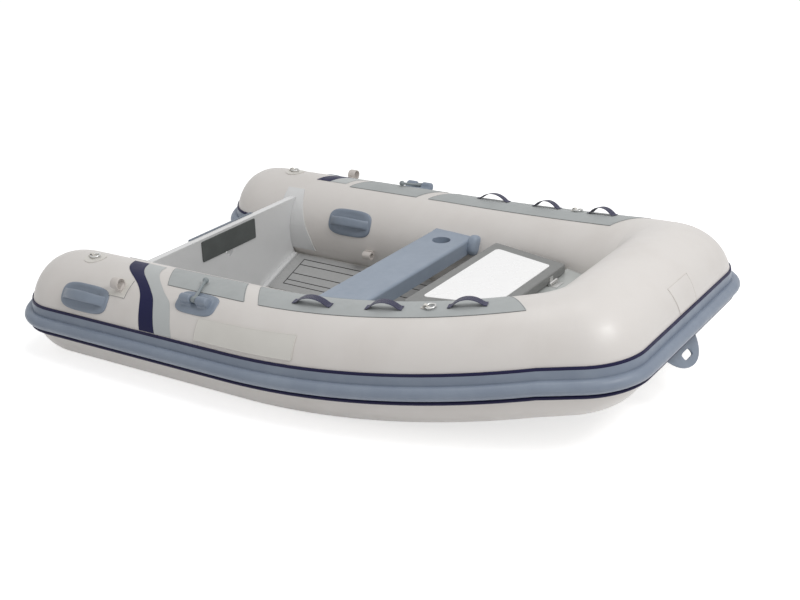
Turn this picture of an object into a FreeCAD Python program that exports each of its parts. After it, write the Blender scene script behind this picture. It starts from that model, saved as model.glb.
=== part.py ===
import FreeCAD, Part
import math
import os

# Rigid inflatable tender, afloat and empty.
# Frame: +X to the bow, +Y to port, +Z up. Origin on the waterline, on the centreline,
# amidships under the thwart. All lengths in millimetres, all angles in degrees.

V = FreeCAD.Vector

# Air tubes
TUBE_RADIUS = 206.0
TUBE_HALF_SPACING = 630.0
TUBE_STERN_HEIGHT = 165.0
DOME_START_X = -1060.0
DOME_LENGTH = 184.0
DOME_FULLNESS = 2.6
DOME_RISE = 35.0
DOME_CAP_SHARE = 0.22
BEND_START_X = -190.0
BEND_RADIUS = 2760.0
BEND_ANGLE = 21.9
SHEER_ANGLE = 0.9
SHEER_RADIUS = 5485.0
CORNER_OUTER_RADIUS = 207.0
CORNER_PINCH = 12.0
SEAT_GAP = 0.4

# Rubbing strake, heights measured from the tube's centre
STRAKE_TOP = 48.0
STRAKE_TRIM = 9.0
STRAKE_CREASE = 7.0
STRAKE_BUMPER_FOOT = -43.0
STRAKE_BOTTOM = -54.0
STRAKE_FLANGE_T = 5.0
STRAKE_BUMPER_OUT = 37.0
STRAKE_SHOULDER_OUT_SHARE = 0.72
STRAKE_SHOULDER_DROP_SHARE = 0.2
STRAKE_HEEL_OUT_SHARE = 0.8
STRAKE_HEEL_DROP_SHARE = 0.62
STRAKE_END_GAP = 14.0
JOINT_GAP = 0.3

# Hull
DEADRISE = 19.8
KEEL_INNER_Z = -107.0
HULL_PLATE_T = 4.0
HULL_FLANGE_ARC = 24.0
HULL_AFT_X = -887.0
HULL_BOW_X = 800.0
KEEL_RISE_FROM_X = 180.0
KEEL_BOW_Z = 62.0
HULL_NOSE_X = 935.0
HULL_NOSE_HALF_W = 190.0
HULL_NOSE_FLANGE_W = 90.0
HULL_NOSE_GAP = 1.5
HULL_NOSE_SAG = 3.0
KEEL_RISE_POWER = 2.1
SOLE_SIDE_INSET = 427.0
SOLE_HALF_WIDTH = TUBE_HALF_SPACING - SOLE_SIDE_INSET
SOLE_T = 4.0
SPRAY_RAIL_SHARE = 0.62
SPRAY_RAIL_W = 26.0
SPRAY_RAIL_H = 12.0
KEEL_STRIP_W = 18.0
KEEL_STRIP_H = 14.0

# Foam sole pads and sill
PAD_T = 6.0
PAD_AFT_X = -834.0
PAD_FORE_X = 196.0
SOLE_FORE_X = 206.0
PAD_SOLE_GAP = 13.0
PAD_INNER_Y = SOLE_HALF_WIDTH + PAD_SOLE_GAP
PAD_UNDER_TUBE = 22.0
PAD_OUTER_Y = TUBE_HALF_SPACING - TUBE_RADIUS + PAD_UNDER_TUBE
PAD_SEAM_W = 5.0
PAD_SEAM_DEPTH = 2.0
PAD_SEAM_AFT_X = -781.0
PAD_SEAM_FORE_X = 150.0
PAD_SEAM_INSETS = (191.0, 164.0, 121.0, 64.0, 30.0)
PAD_CENTRE_INSET = 7.0
PAD_CENTRE_HALF_W = SOLE_HALF_WIDTH - PAD_CENTRE_INSET
PAD_CENTRE_SEAM_YS = (-150.0, -75.0, 0.0, 75.0, 150.0)
SILL_W = 20.0
SILL_H = 16.0
SILL_SOLE_GAP = 3.5
SILL_INNER_Y = SOLE_HALF_WIDTH - SOLE_T + SILL_SOLE_GAP
SILL_END_INSET = 6.0

# Transom
TRANSOM_TOP_Z = 316.0
TRANSOM_TOP_X = -857.0
TRANSOM_T = 30.0
TRANSOM_FLANGE_T = 4.0
TRANSOM_FIT_GAP = 0.8
TRANSOM_FLANGE_AFT_X = -922.0
TRANSOM_FLANGE_ANGLES = (-33.0, -60.0, -80.0, -96.0, -112.0)
TRANSOM_FLANGE_FORE_XS = (-834.0, -800.0, -773.0, -746.0, -731.0)
TRANSOM_HOLE_R = 22.0
TRANSOM_HOLE_Z = 212.0
PAD_INNER_HALF_W = 173.0
PAD_INNER_TOP_DROP = 10.0
PAD_INNER_H = 88.0
ENGINE_PAD_T = 5.0
PAD_OUTER_HALF_W = 205.0
PAD_OUTER_H = 92.0
PAD_OUTER_T = 10.0
PAD_OUTER_PROUD = 3.0

# Bow locker and its lid
LID_TOP_Z = 333.0
LID_AFT_X = 238.0
LID_FORE_X = 588.0
LID_AFT_INSET = 280.0
LID_FORE_INSET = 365.0
LID_AFT_HALF_W = TUBE_HALF_SPACING - LID_AFT_INSET
LID_FORE_HALF_W = TUBE_HALF_SPACING - LID_FORE_INSET
LID_H = 32.0
LID_T = 5.0
LID_ROUND = 14.0
PANEL_MARGIN_AFT = 44.0
PANEL_MARGIN_FORE = 42.0
PANEL_MARGIN_SIDE = 58.0
PANEL_T = 6.0
PANEL_SINK = 4.0
PANEL_ROUND = 16.0
LOCKER_T = 4.0
LOCKER_INSET = 12.0
LOCKER_LID_GAP = 6.0
BOW_DECK_T = 4.0
BOW_DECK_GAP = 1.0
BOW_DECK_CORNER = 12.0
HINGE_R = 7.0
HINGE_PIN_R = 3.0
HINGE_PIN_GAP = 0.3
HINGE_KNUCKLE_L = 16.0
HINGE_LEAF_W = 26.0
HINGE_LEAF_H = 22.0
HINGE_LEAF_T = 2.5
HINGE_FOOT_L = 30.0
HINGE_SWING_GAP = 1.0
HINGE_Y = 138.0

# Thwart seat
SEAT_TOP_Z = 298.0
SEAT_AFT_X = -112.0
SEAT_FORE_X = 82.0
SEAT_UNDER_TUBE = 46.0
SEAT_HALF_L = TUBE_HALF_SPACING - TUBE_RADIUS + SEAT_UNDER_TUBE
SEAT_H = 62.0
SEAT_ROUND = 12.0
SEAT_CORNER = 24.0
SEAT_END_WALL = 60.0
SEAT_WALL = 9.0
CUP_X = -14.0
CUP_Y = 345.0
CUP_R = 38.0
CUP_DEPTH = 46.0
BRACKET_T = 8.0
BRACKET_ANGLE = 64.6
BRACKET_ARC = 14.5
BRACKET_FORE_X = 142.0
BRACKET_ROUND = 60.0

# Moulded hand grips on the tubes
GRIP_BASE_T = 4.0
GRIP_BAR_OUT = 42.0
GRIP_BAR_T = 11.0
GRIP_BAR_W = 46.0
GRIP_BAR_END_W = 20.0
GRIP_END = 18.0
GRIP_ROUND = 46.0
GRIP_OUTER_X = -890.0
GRIP_OUTER_ANGLE = 56.7
GRIP_OUTER_ARC = 15.0
GRIP_OUTER_L = 236.0
GRIP_INNER_X = -540.0
GRIP_INNER_ANGLE = 66.6
GRIP_INNER_ARC = 16.5
GRIP_INNER_L = 221.0

# Lifting rings, paddle loops and clips
RING_PLACES = ((-980.0, 2.8), (488.6, 5.3))
RING_PATCH_R = 43.0
RING_PATCH_T = 2.0
RING_PATCH_FLAT = 1.5
RING_R = 17.0
RING_WIRE_R = 3.5
SADDLE_W = 12.0
SADDLE_R = 8.0
SADDLE_BORE_R = 6.1
SADDLE_BASE_T = 2.0
LOOP_X = -741.0
LOOP_ANGLE = 37.0
LOOP_PATCH_HALF = 39.0
LOOP_PATCH_T = 2.0
LOOP_R_OUT = 24.0
LOOP_R_IN = 17.0
LOOP_W = 34.0
LOOP_FOOT_W = 34.0
LOOP_FOOT_T = 6.0
CLIP_X = -428.0
CLIP_ANGLE = 101.0
CLIP_R_OUT = 18.0
CLIP_R_IN = 13.0
CLIP_L = 40.0

# Rowlocks
ROWLOCK_X = -375.0
ROWLOCK_ANGLE = 35.3
ROWLOCK_L = 182.0
ROWLOCK_ARC = 12.8
ROWLOCK_BASE_T = 5.0
ROWLOCK_ROUND = 34.0
BARREL_R = 17.0
BARREL_L = 54.0
BARREL_GAP = 22.0
BARREL_BORE_R = 6.6
BARREL_SADDLE_W = 26.0
PIN_SHAFT_R = 6.0
PIN_L = 114.0
PIN_AXLE_R = 6.0
PIN_AXLE_L = 50.0
PIN_DROP_ANGLE = 17.0
PIN_YAW_ANGLE = 15.0
PIN_BALL_R = 9.0
PIN_HUB_R = 11.0
PIN_HUB_L = 20.0

# Patches, straps, stripes and plates on the tubes
WEAR_T = 1.2
WEAR_AFT_ANGLES = (-16.0, 21.6)
WEAR_BOW_ANGLES = (-21.5, 19.5)
WEAR_TIP_ARC = 1.5
WEAR_AFT_INNER_XS = (-625.0, -277.0)
WEAR_AFT_OUTER_XS = (-549.0, -193.0)
WEAR_FORE_INNER_XS = (-215.0, 726.0)
WEAR_FORE_OUTER_XS = (-130.0, 796.0)
STRAP_SPANS = ((-13.0, 139.0), (263.0, 398.0), (542.0, 678.0))
STRAP_ANGLES = (7.5, 6.4, 4.3)
STRAP_W = 30.0
STRAP_T = 3.0
STRAP_RISE = 33.0
STRAP_FOOT_L = 22.0
STRAP_LIFT = 0.8
STRIPE_T = 1.0
STRIPE_SEAM = 1.5
STRIPE_ANGLES = (-11.0, 9.3, 30.0, 43.0, 75.8)
NAVY_AFT_XS = (-819.0, -780.0, -673.0, -632.0, -595.0)
NAVY_FORE_XS = (-746.0, -705.0, -614.0, -568.0, -522.0)
GREY_FORE_XS = (-658.0, -627.0, -546.5, -487.0, -440.0)
PLATE_SPAN = (-332.0, 71.0)
PLATE_TOP_ANGLES = (50.2, 47.8)
PLATE_LOW_ANGLE = 72.0
PLATE_T = 4.0
BOW_PATCH_HALF_TOP = 52.0
BOW_PATCH_HALF_LOW = 30.0
BOW_PATCH_TOP_ANGLE = 55.0
BOW_PATCH_LOW_ANGLE = 75.0
BOW_PATCH_T = 1.5

# Tow handle under the bow
TOW_HALF_L = 130.0
TOW_DEPTH = 78.0
TOW_T = 12.0
TOW_ANGLE = 119.0
TOW_FLANGE_ARC = 6.0
TOW_FLANGE_T = 4.0
TOW_ROOT = 20.0
TOW_TILT = 47.0
TOW_SLOT_HALF_L = 36.0
TOW_SLOT_H = 26.0
TOW_SLOT_DROP = 22.0

CUT = 5.0
HALF_TURN = 180.0


def sin(angle):
    return math.sin(math.radians(angle))


def cos(angle):
    return math.cos(math.radians(angle))


def tan(angle):
    return math.tan(math.radians(angle))


class Station:
    """One upright cross-section of a tube: centre, outward normal in plan, half-width and half-height."""

    def __init__(self, x, y, z, nx, ny, half_w, half_h):
        self.x, self.y, self.z = x, y, z
        self.nx, self.ny = nx, ny
        self.half_w, self.half_h = half_w, half_h

    def at(self, out, height):
        """The point that lies out from the centre and height above it."""
        return V(self.x + out * self.nx, self.y + out * self.ny, self.z + height)

    def skin(self, angle, offset=0.0):
        """The point on the tube's surface, angle counted from the crown outboard."""
        return self.at((self.half_w + offset) * sin(angle), (self.half_h + offset) * cos(angle))

    def mirrored(self):
        return Station(self.x, -self.y, self.z, self.nx, -self.ny, self.half_w, self.half_h)


def tube_height(x):
    """Rising gently along the aft half, then faster to the bow along an arc."""
    run = max(x - BEND_START_X, 0.0)
    level = TUBE_STERN_HEIGHT + (x - DOME_START_X) * tan(SHEER_ANGLE)
    return level + SHEER_RADIUS - math.sqrt(SHEER_RADIUS ** 2 - run ** 2)


def bend_end():
    x = BEND_START_X + BEND_RADIUS * sin(BEND_ANGLE)
    y = TUBE_HALF_SPACING - BEND_RADIUS * (1 - cos(BEND_ANGLE))
    return x, y


def bow_pivot():
    """Inboard corner in plan, where the side tube's and the bow tube's inner lines meet."""
    reach = TUBE_RADIUS + CORNER_PINCH
    x, y = bend_end()
    return x - reach * sin(BEND_ANGLE), y - reach * cos(BEND_ANGLE)


def front_x():
    return bow_pivot()[0] + TUBE_RADIUS + CORNER_PINCH


def bend_station(angle):
    """Section of the port tube where its long bend has turned by angle."""
    x = BEND_START_X + BEND_RADIUS * sin(angle)
    y = TUBE_HALF_SPACING - BEND_RADIUS * (1 - cos(angle))
    return Station(x, y, tube_height(x), sin(angle), cos(angle), TUBE_RADIUS, TUBE_RADIUS)


def side_station(x):
    """Section of the port tube where its centreline crosses x."""
    if x > BEND_START_X:
        return bend_station(math.degrees(math.asin((x - BEND_START_X) / BEND_RADIUS)))
    return Station(x, TUBE_HALF_SPACING, tube_height(x), 0.0, 1.0, TUBE_RADIUS, TUBE_RADIUS)


def corner_arc():
    """Centre of the outer corner's arc from the pivot, and the angles where it meets the two outer lines."""
    spread = (2 * TUBE_RADIUS + CORNER_PINCH - CORNER_OUTER_RADIUS) / cos((90.0 - BEND_ANGLE) / 2)
    half_way = (90.0 + BEND_ANGLE) / 2
    cx, cy = spread * sin(half_way), spread * cos(half_way)
    radius = CORNER_OUTER_RADIUS
    side_touch = math.degrees(math.atan2(cx + radius * sin(BEND_ANGLE), cy + radius * cos(BEND_ANGLE)))
    return cx, cy, side_touch, math.degrees(math.atan2(cx + radius, cy))


def fan_station(angle):
    """Section of the bow corner, turned by angle about the inboard corner where the two tubes meet."""
    px, py = bow_pivot()
    dx, dy = sin(angle), cos(angle)
    full = 2 * TUBE_RADIUS + CORNER_PINCH
    cx, cy, side_touch, front_touch = corner_arc()
    if angle < side_touch:
        outer = full / cos(angle - BEND_ANGLE)
    elif angle > front_touch:
        outer = full / cos(90.0 - angle)
    else:
        along = cx * dx + cy * dy
        outer = along + math.sqrt(along ** 2 - cx ** 2 - cy ** 2 + CORNER_OUTER_RADIUS ** 2)
    middle = (outer + CORNER_PINCH) / 2
    x = px + middle * dx
    return Station(x, py + middle * dy, tube_height(x), dx, dy, (outer - CORNER_PINCH) / 2, TUBE_RADIUS)


def front_station(y):
    x = front_x()
    return Station(x, y, tube_height(x), 1.0, 0.0, TUBE_RADIUS, TUBE_RADIUS)


DOME_STEP_SHARES = (1.0, 0.93, 0.86, 0.78, 0.7, 0.61, 0.52, 0.43, 0.34, 0.25, 0.17, 0.08)
BEND_STEPS = 10
FAN_STEPS = 4


def dome_profile(turn):
    """Superellipse round the stern: aft reach and radius share where turn runs from 0 at the tip to 90."""
    power = 2.0 / DOME_FULLNESS
    return DOME_LENGTH * abs(cos(turn)) ** power, abs(sin(turn)) ** power


def dome_centre_z(aft):
    """Centre height of the domed stern, which lifts toward its tip."""
    share = (1 - min(aft / DOME_LENGTH, 1.0) ** DOME_FULLNESS) ** (1 / DOME_FULLNESS)
    return tube_height(DOME_START_X - aft) + DOME_RISE * (1 - share)


def bend_angles():
    return [BEND_ANGLE * i / BEND_STEPS for i in range(BEND_STEPS + 1)]


def even_steps(start, end, steps):
    return [start + (end - start) * i / steps for i in range(steps + 1)]


def dome_stations():
    """Sections of the port tube's domed stern, from its tip to the start of the full round."""
    stations = []
    low = math.degrees(math.asin(DOME_CAP_SHARE ** (DOME_FULLNESS / 2.0)))
    for step in DOME_STEP_SHARES:
        turn = 90.0 - (90.0 - low) * step
        aft, share = dome_profile(turn)
        radius = TUBE_RADIUS * share
        x = DOME_START_X - aft
        stations.append(Station(x, TUBE_HALF_SPACING, dome_centre_z(aft), 0.0, 1.0, radius, radius))
    stations.append(side_station(DOME_START_X))
    return stations


def side_runs():
    """Sections of the port tube forward of its dome: a straight run, then the long bend."""
    straight = [side_station(DOME_START_X), side_station(BEND_START_X)]
    return [straight, [bend_station(angle) for angle in bend_angles()]]


def bow_runs():
    """Sections round the bow: each corner in three runs, with the straight front between."""
    _, _, side_touch, front_touch = corner_arc()
    turns = [BEND_ANGLE, side_touch, front_touch, 90.0]
    corner = [[fan_station(angle) for angle in even_steps(a, b, FAN_STEPS)] for a, b in zip(turns, turns[1:])]
    edge = fan_station(90.0).y
    far = [[s.mirrored() for s in reversed(run)] for run in reversed(corner)]
    return corner + [[front_station(edge), front_station(-edge)]] + far


RING_POINTS = 16


def tube_ring(station, offset=0.0):
    """Closed smooth section of a tube at a station."""
    points = [station.skin(360.0 * i / RING_POINTS, offset) for i in range(RING_POINTS)]
    curve = Part.BSplineCurve()
    curve.interpolate(Points=points, PeriodicFlag=True)
    return Part.Wire([curve.toShape()])


def loft(wires, ruled=False):
    return Part.makeLoft(wires, True, ruled)


def carried(runs, section):
    """A section carried along runs of places that meet end to end: two places make a straight run."""
    parts = [loft([section(place) for place in places], len(places) == 2) for places in runs]
    return parts[0].fuse(parts[1:])


def mirror_y(shape):
    return shape.mirror(V(0, 0, 0), V(0, 1, 0))


def tube_side(offset=0.0):
    return carried([dome_stations()] + side_runs(), lambda station: tube_ring(station, offset))


def tube_bow(offset=0.0):
    return carried(bow_runs(), lambda station: tube_ring(station, offset))


def recess(station, height):
    """How far the tube's surface at a height lies inboard of its widest line."""
    return station.half_w * (1 - math.sqrt(1 - (height / station.half_h) ** 2))


def dome_place(turn):
    """Aft reach and side offset of the domed stern's widest line."""
    aft, share = dome_profile(turn)
    return aft, math.copysign(TUBE_RADIUS * share, sin(turn))


def dome_recess(turn, height):
    """The same on the domed stern, found along the dome's outward normal."""
    aft, side = dome_place(turn)
    level = dome_centre_z(aft) + height
    nx, ny = dome_normal(turn)
    low, high = 0.0, TUBE_RADIUS
    for _ in range(40):
        mid = (low + high) / 2
        reach = max(aft + nx * mid, 0.0)
        ring = math.hypot(side - ny * mid, level - dome_centre_z(reach))
        if (reach / DOME_LENGTH) ** DOME_FULLNESS + (ring / TUBE_RADIUS) ** DOME_FULLNESS > 1.0:
            low = mid
        else:
            high = mid
    return low


def dome_normal(turn):
    """Outward normal in plan on the domed stern of the port tube."""
    aft, share = dome_profile(turn)
    nx = -(aft / DOME_LENGTH) ** (DOME_FULLNESS - 1) / DOME_LENGTH
    ny = math.copysign(share ** (DOME_FULLNESS - 1) / TUBE_RADIUS, sin(turn))
    length = math.hypot(nx, ny)
    return nx / length, ny / length


class Rail:
    """One place on the tube's widest line, for the strake's section."""

    def __init__(self, x, y, z, nx, ny, recess_at):
        self.x, self.y, self.z = x, y, z
        self.nx, self.ny = nx, ny
        self.recess_at = recess_at

    def at(self, out, height):
        return V(self.x + out * self.nx, self.y + out * self.ny, self.z + height)

    def back(self, height):
        """The strake's back, clear of the tube by the seating gap."""
        return self.at(SEAT_GAP - self.recess_at(height), height)


DOME_TURN_COUNT = 12


def station_rail(station, side=1.0):
    return Rail(station.x + side * station.half_w * station.nx, station.y + side * station.half_w * station.ny,
                station.z, side * station.nx, side * station.ny, lambda h: recess(station, h))


def dome_rail(turn):
    aft, side = dome_place(turn)
    nx, ny = dome_normal(turn)
    return Rail(DOME_START_X - aft, TUBE_HALF_SPACING + side, dome_centre_z(aft), nx, ny,
                lambda h: dome_recess(turn, h))


def side_rails():
    """From the transom round the port stern and forward to the bow corner's seam."""
    aft_limit = TRANSOM_FLANGE_AFT_X - STRAKE_END_GAP
    inboard = [station_rail(side_station(x), -1.0) for x in (aft_limit, DOME_START_X)]
    stern = [dome_rail(90.0 * i / DOME_TURN_COUNT) for i in range(-DOME_TURN_COUNT, DOME_TURN_COUNT + 1)]
    return [inboard, stern] + [[station_rail(s) for s in run] for run in side_runs()]


def bow_rails():
    return [[station_rail(s) for s in run] for run in bow_runs()]


def arc3(a, b, c):
    return Part.Arc(a, b, c).toShape()


def line(a, b):
    return Part.LineSegment(a, b).toShape()


def back_arc(rail, top, low):
    """The curved back of a strake section, from its top down to its foot."""
    return arc3(rail.back(top), rail.back((top + low) / 2), rail.back(low))


def flange_out(rail, height):
    return rail.at(STRAKE_FLANGE_T - rail.recess_at(height), height)


def strake_section(rail):
    """Thin flange on the tube above, a full rounded bumper below it and a narrow foot."""
    top = STRAKE_TOP - STRAKE_TRIM - JOINT_GAP
    low = STRAKE_BOTTOM + STRAKE_TRIM + JOINT_GAP
    bumper_mid = (STRAKE_CREASE + STRAKE_BUMPER_FOOT) / 2
    shoulder = rail.at(STRAKE_BUMPER_OUT * STRAKE_SHOULDER_OUT_SHARE,
                       STRAKE_CREASE - (STRAKE_CREASE - bumper_mid) * STRAKE_SHOULDER_DROP_SHARE)
    nose = rail.at(STRAKE_BUMPER_OUT, bumper_mid)
    heel = rail.at(STRAKE_BUMPER_OUT * STRAKE_HEEL_OUT_SHARE,
                   bumper_mid + (STRAKE_BUMPER_FOOT - bumper_mid) * STRAKE_HEEL_DROP_SHARE)
    foot = flange_out(rail, STRAKE_BUMPER_FOOT)
    crease = flange_out(rail, STRAKE_CREASE)
    edges = [
        line(rail.back(top), flange_out(rail, top)),
        line(flange_out(rail, top), crease),
        arc3(crease, shoulder, nose),
        arc3(nose, heel, foot),
        line(foot, flange_out(rail, low)),
        line(flange_out(rail, low), rail.back(low)),
        back_arc(rail, low, top),
    ]
    return Part.Wire(edges)


def trim_section(rail, top, low):
    """Narrow coloured band along an edge of the strake."""
    edges = [
        line(rail.back(top), flange_out(rail, top)),
        line(flange_out(rail, top), flange_out(rail, low)),
        line(flange_out(rail, low), rail.back(low)),
        back_arc(rail, low, top),
    ]
    return Part.Wire(edges)


def strake_trims(runs):
    """The navy lines above and below the strake, two solids."""
    upper = carried(runs, lambda rail: trim_section(rail, STRAKE_TOP, STRAKE_TOP - STRAKE_TRIM))
    lower = carried(runs, lambda rail: trim_section(rail, STRAKE_BOTTOM + STRAKE_TRIM, STRAKE_BOTTOM))
    return Part.makeCompound([upper, lower])


def sector_wire(station, start, end, offset, thickness):
    """Closed section of a thin sheet that lies on the tube between two angles."""
    mid = (start + end) / 2
    outer = offset + thickness
    return Part.Wire([
        arc3(station.skin(start, offset), station.skin(mid, offset), station.skin(end, offset)),
        line(station.skin(end, offset), station.skin(end, outer)),
        arc3(station.skin(end, outer), station.skin(mid, outer), station.skin(start, outer)),
        line(station.skin(start, outer), station.skin(start, offset)),
    ])


def sheet(stations, starts, ends, offset, thickness):
    return loft([sector_wire(s, a, b, offset, thickness) for s, a, b in zip(stations, starts, ends)])


BAND_STEPS = 5


def slope(knots, values, i):
    """Rise of a smooth row of values at one knot, from its neighbours."""
    a, b = max(i - 1, 0), min(i + 1, len(knots) - 1)
    return (values[b] - values[a]) / (knots[b] - knots[a])


def between(knots, values, i, share):
    """Smooth curve through a row of values, from knot i towards the next."""
    span = knots[i + 1] - knots[i]
    start, end = slope(knots, values, i) * span, slope(knots, values, i + 1) * span
    rise = values[i + 1] - values[i]
    bend = 3 * rise - 2 * start - end
    return values[i] + share * (start + share * (bend + share * (start + end - 2 * rise)))


def band_round(angles, aft_xs, fore_xs, thickness):
    """Band lofted round the tube, its aft and fore edge given at each angle."""
    def row(place):
        i, share = place
        angle = angles[i] + (angles[i + 1] - angles[i]) * share
        aft = side_station(between(angles, aft_xs, i, share))
        fore = side_station(between(angles, fore_xs, i, share))
        top = SEAT_GAP + thickness
        low_edge = [aft.skin(angle, SEAT_GAP), fore.skin(angle, SEAT_GAP)]
        return polygon(low_edge + [fore.skin(angle, top), aft.skin(angle, top)])
    return carried([[(i, k / BAND_STEPS) for k in range(BAND_STEPS + 1)] for i in range(len(angles) - 1)], row)


def rounded_ends(first, last, round_l, steps=4, middles=6):
    """Places along a sheet with rounded ends, each with the share of its full half-breadth."""
    head = []
    for i in range(steps + 1):
        turn = 90.0 * (i + 0.5) / (steps + 0.5)
        head.append((first + round_l * (1 - cos(turn)), sin(turn)))
    straight = last - first - 2 * round_l
    mids = [(first + round_l + straight * (i + 1) / (middles + 1), 1.0) for i in range(middles)]
    return head + mids + [(first + last - x, share) for x, share in reversed(head)]


def oval_sheet(centre_x, centre_angle, length, half_arc, offset, thickness, round_l, middles=2):
    """A sheet on the port tube with round ends, half_arc in degrees to each side of its middle line."""
    places = rounded_ends(centre_x - length / 2, centre_x + length / 2, round_l, 4, middles)
    stations = [side_station(x) for x, _ in places]
    starts = [centre_angle - half_arc * share for _, share in places]
    ends = [centre_angle + half_arc * share for _, share in places]
    return sheet(stations, starts, ends, offset, thickness)


# Hull

def floor_z(x, y):
    """Height of the hull plate's inner face: a straight V whose keel sweeps up to the bow."""
    run = max(x - KEEL_RISE_FROM_X, 0.0) / (HULL_BOW_X - KEEL_RISE_FROM_X)
    keel = KEEL_INNER_Z + (KEEL_BOW_Z - KEEL_INNER_Z) * min(run, 1.0) ** KEEL_RISE_POWER
    return keel + abs(y) * tan(DEADRISE)


def tube_point_at(x, angle, offset):
    """Point of the port tube's surface in the plane at x, angle counted from the crown outboard."""
    centre = x
    for _ in range(8):
        station = side_station(centre)
        centre = x - (station.half_w + offset) * sin(angle) * station.nx
    point = side_station(centre).skin(angle, offset)
    return V(x, point.y, point.z)


def chine_angle(x):
    """Where round the tube's underside the V of the hull meets it."""
    low, high = 15.0, 80.0
    for _ in range(30):
        mid = (low + high) / 2
        point = tube_point_at(x, mid - HALF_TURN, SEAT_GAP)
        if point.z > floor_z(x, point.y):
            high = mid
        else:
            low = mid
    return low


def nose_share(x):
    return (x - HULL_BOW_X) / (HULL_NOSE_X - HULL_BOW_X)


def nose_under(x, gap):
    """Underside of the bow tube's straight front, less a gap."""
    front = front_station(0.0)
    reach = front.half_h + gap
    return front.z - math.sqrt(reach ** 2 - (front.x - x) ** 2)


def hull_points(x):
    """Inner and outer points of a port half-section: flange end, flange middle, chine, keel."""
    if x <= HULL_BOW_X:
        chine = chine_angle(x) - HALF_TURN
        angles = (chine - HULL_FLANGE_ARC, chine - HULL_FLANGE_ARC / 2, chine)
        inner = [tube_point_at(x, a, SEAT_GAP) for a in angles]
        outer = [tube_point_at(x, a, SEAT_GAP + HULL_PLATE_T) for a in angles]
        inner.append(V(x, 0, floor_z(x, 0)))
        outer.append(V(x, 0, floor_z(x, 0) - HULL_PLATE_T / cos(DEADRISE)))
        return inner, outer
    base, _ = hull_points(HULL_BOW_X)
    share = nose_share(x)
    under = nose_under(HULL_NOSE_X, HULL_NOSE_GAP)
    wide = HULL_NOSE_HALF_W + HULL_NOSE_FLANGE_W
    ends = (wide, (HULL_NOSE_HALF_W + wide) / 2, HULL_NOSE_HALF_W, 0.0)
    roof = nose_under(x, HULL_NOSE_GAP)
    inner = []
    for point, y in zip(base, ends):
        z = min(point.z + (under - point.z) * share, roof)
        inner.append(V(x, point.y + (y - point.y) * share, z))
    inner[1] = V(x, inner[1].y, (inner[0].z + inner[2].z) / 2 - HULL_NOSE_SAG)
    keel_drop = base[2].z - base[3].z
    inner[3] = V(x, 0, inner[2].z - keel_drop * (1 - share ** 2))
    outer = [V(p.x, p.y, p.z - HULL_PLATE_T / cos(DEADRISE)) for p in inner]
    return inner, outer


def mirror_point(p):
    return V(p.x, -p.y, p.z)


def hull_section(x):
    inner, outer = hull_points(x)
    inner_m = [mirror_point(p) for p in inner]
    outer_m = [mirror_point(p) for p in outer]
    return Part.Wire([
        arc3(outer[0], outer[1], outer[2]),
        line(outer[2], outer[3]),
        line(outer[3], outer_m[2]),
        arc3(outer_m[2], outer_m[1], outer_m[0]),
        line(outer_m[0], inner_m[0]),
        arc3(inner_m[0], inner_m[1], inner_m[2]),
        line(inner_m[2], inner_m[3]),
        line(inner_m[3], inner[2]),
        arc3(inner[2], inner[1], inner[0]),
        line(inner[0], outer[0]),
    ])


HULL_STEPS = 8
HULL_NOSE_STEPS = 4


def hull_runs():
    """Places along the hull: beside the straight tubes, beside the bend, over the rising keel, and the nose."""
    bottom = [(BEND_START_X, KEEL_RISE_FROM_X, HULL_STEPS), (KEEL_RISE_FROM_X, HULL_BOW_X, HULL_STEPS)]
    nose = (HULL_BOW_X, HULL_NOSE_X, HULL_NOSE_STEPS)
    return [[HULL_AFT_X, BEND_START_X]] + [even_steps(*run) for run in bottom + [nose]]


def hull():
    """V-shaped plate hull with its flanges bent round the underside of the tubes."""
    return carried(hull_runs(), hull_section)


def polygon(points):
    return Part.Wire([line(a, b) for a, b in zip(points, points[1:] + points[:1])])


def keel_section(x):
    top = floor_z(x, 0) - HULL_PLATE_T / cos(DEADRISE) - JOINT_GAP
    rise = KEEL_STRIP_W / 2 * tan(DEADRISE)
    return polygon([
        V(x, 0, top), V(x, KEEL_STRIP_W / 2, top + rise), V(x, KEEL_STRIP_W / 2, top - KEEL_STRIP_H),
        V(x, -KEEL_STRIP_W / 2, top - KEEL_STRIP_H), V(x, -KEEL_STRIP_W / 2, top + rise),
    ])


def spray_rail_section(x):
    _, outer = hull_points(x)
    chine, keel = outer[2], outer[3]

    def plate_z(y):
        return keel.z + (chine.z - keel.z) * y / chine.y - JOINT_GAP

    inner_y = chine.y * SPRAY_RAIL_SHARE
    outer_y = inner_y + SPRAY_RAIL_W
    return polygon([V(x, inner_y, plate_z(inner_y)), V(x, outer_y, plate_z(outer_y)),
                    V(x, outer_y, plate_z(outer_y) - SPRAY_RAIL_H)])


def hull_rails():
    """Bar along the keel and a wedge along each bottom that throws the spray out."""
    runs = hull_runs()[:-1]
    wedge = carried(runs, spray_rail_section)
    return Part.makeCompound([carried(runs, keel_section), wedge, mirror_y(wedge)])


# Sole, pads and sill

def box(x0, x1, y0, y1, z0, z1):
    return Part.makeBox(x1 - x0, y1 - y0, z1 - z0, V(x0, y0, z0))


def sole_top():
    edge = SOLE_HALF_WIDTH - SOLE_T
    return floor_z(BEND_START_X, edge) + JOINT_GAP + SOLE_T


def sole():
    """Flat centre sole over the keel, resting along both its edges on the V."""
    half = SOLE_HALF_WIDTH - SOLE_T
    return box(board_face_x(), SOLE_FORE_X, -half, half, sole_top() - SOLE_T, sole_top())


def board_face_x():
    """Just forward of the transom board."""
    return TRANSOM_TOP_X + JOINT_GAP


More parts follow.
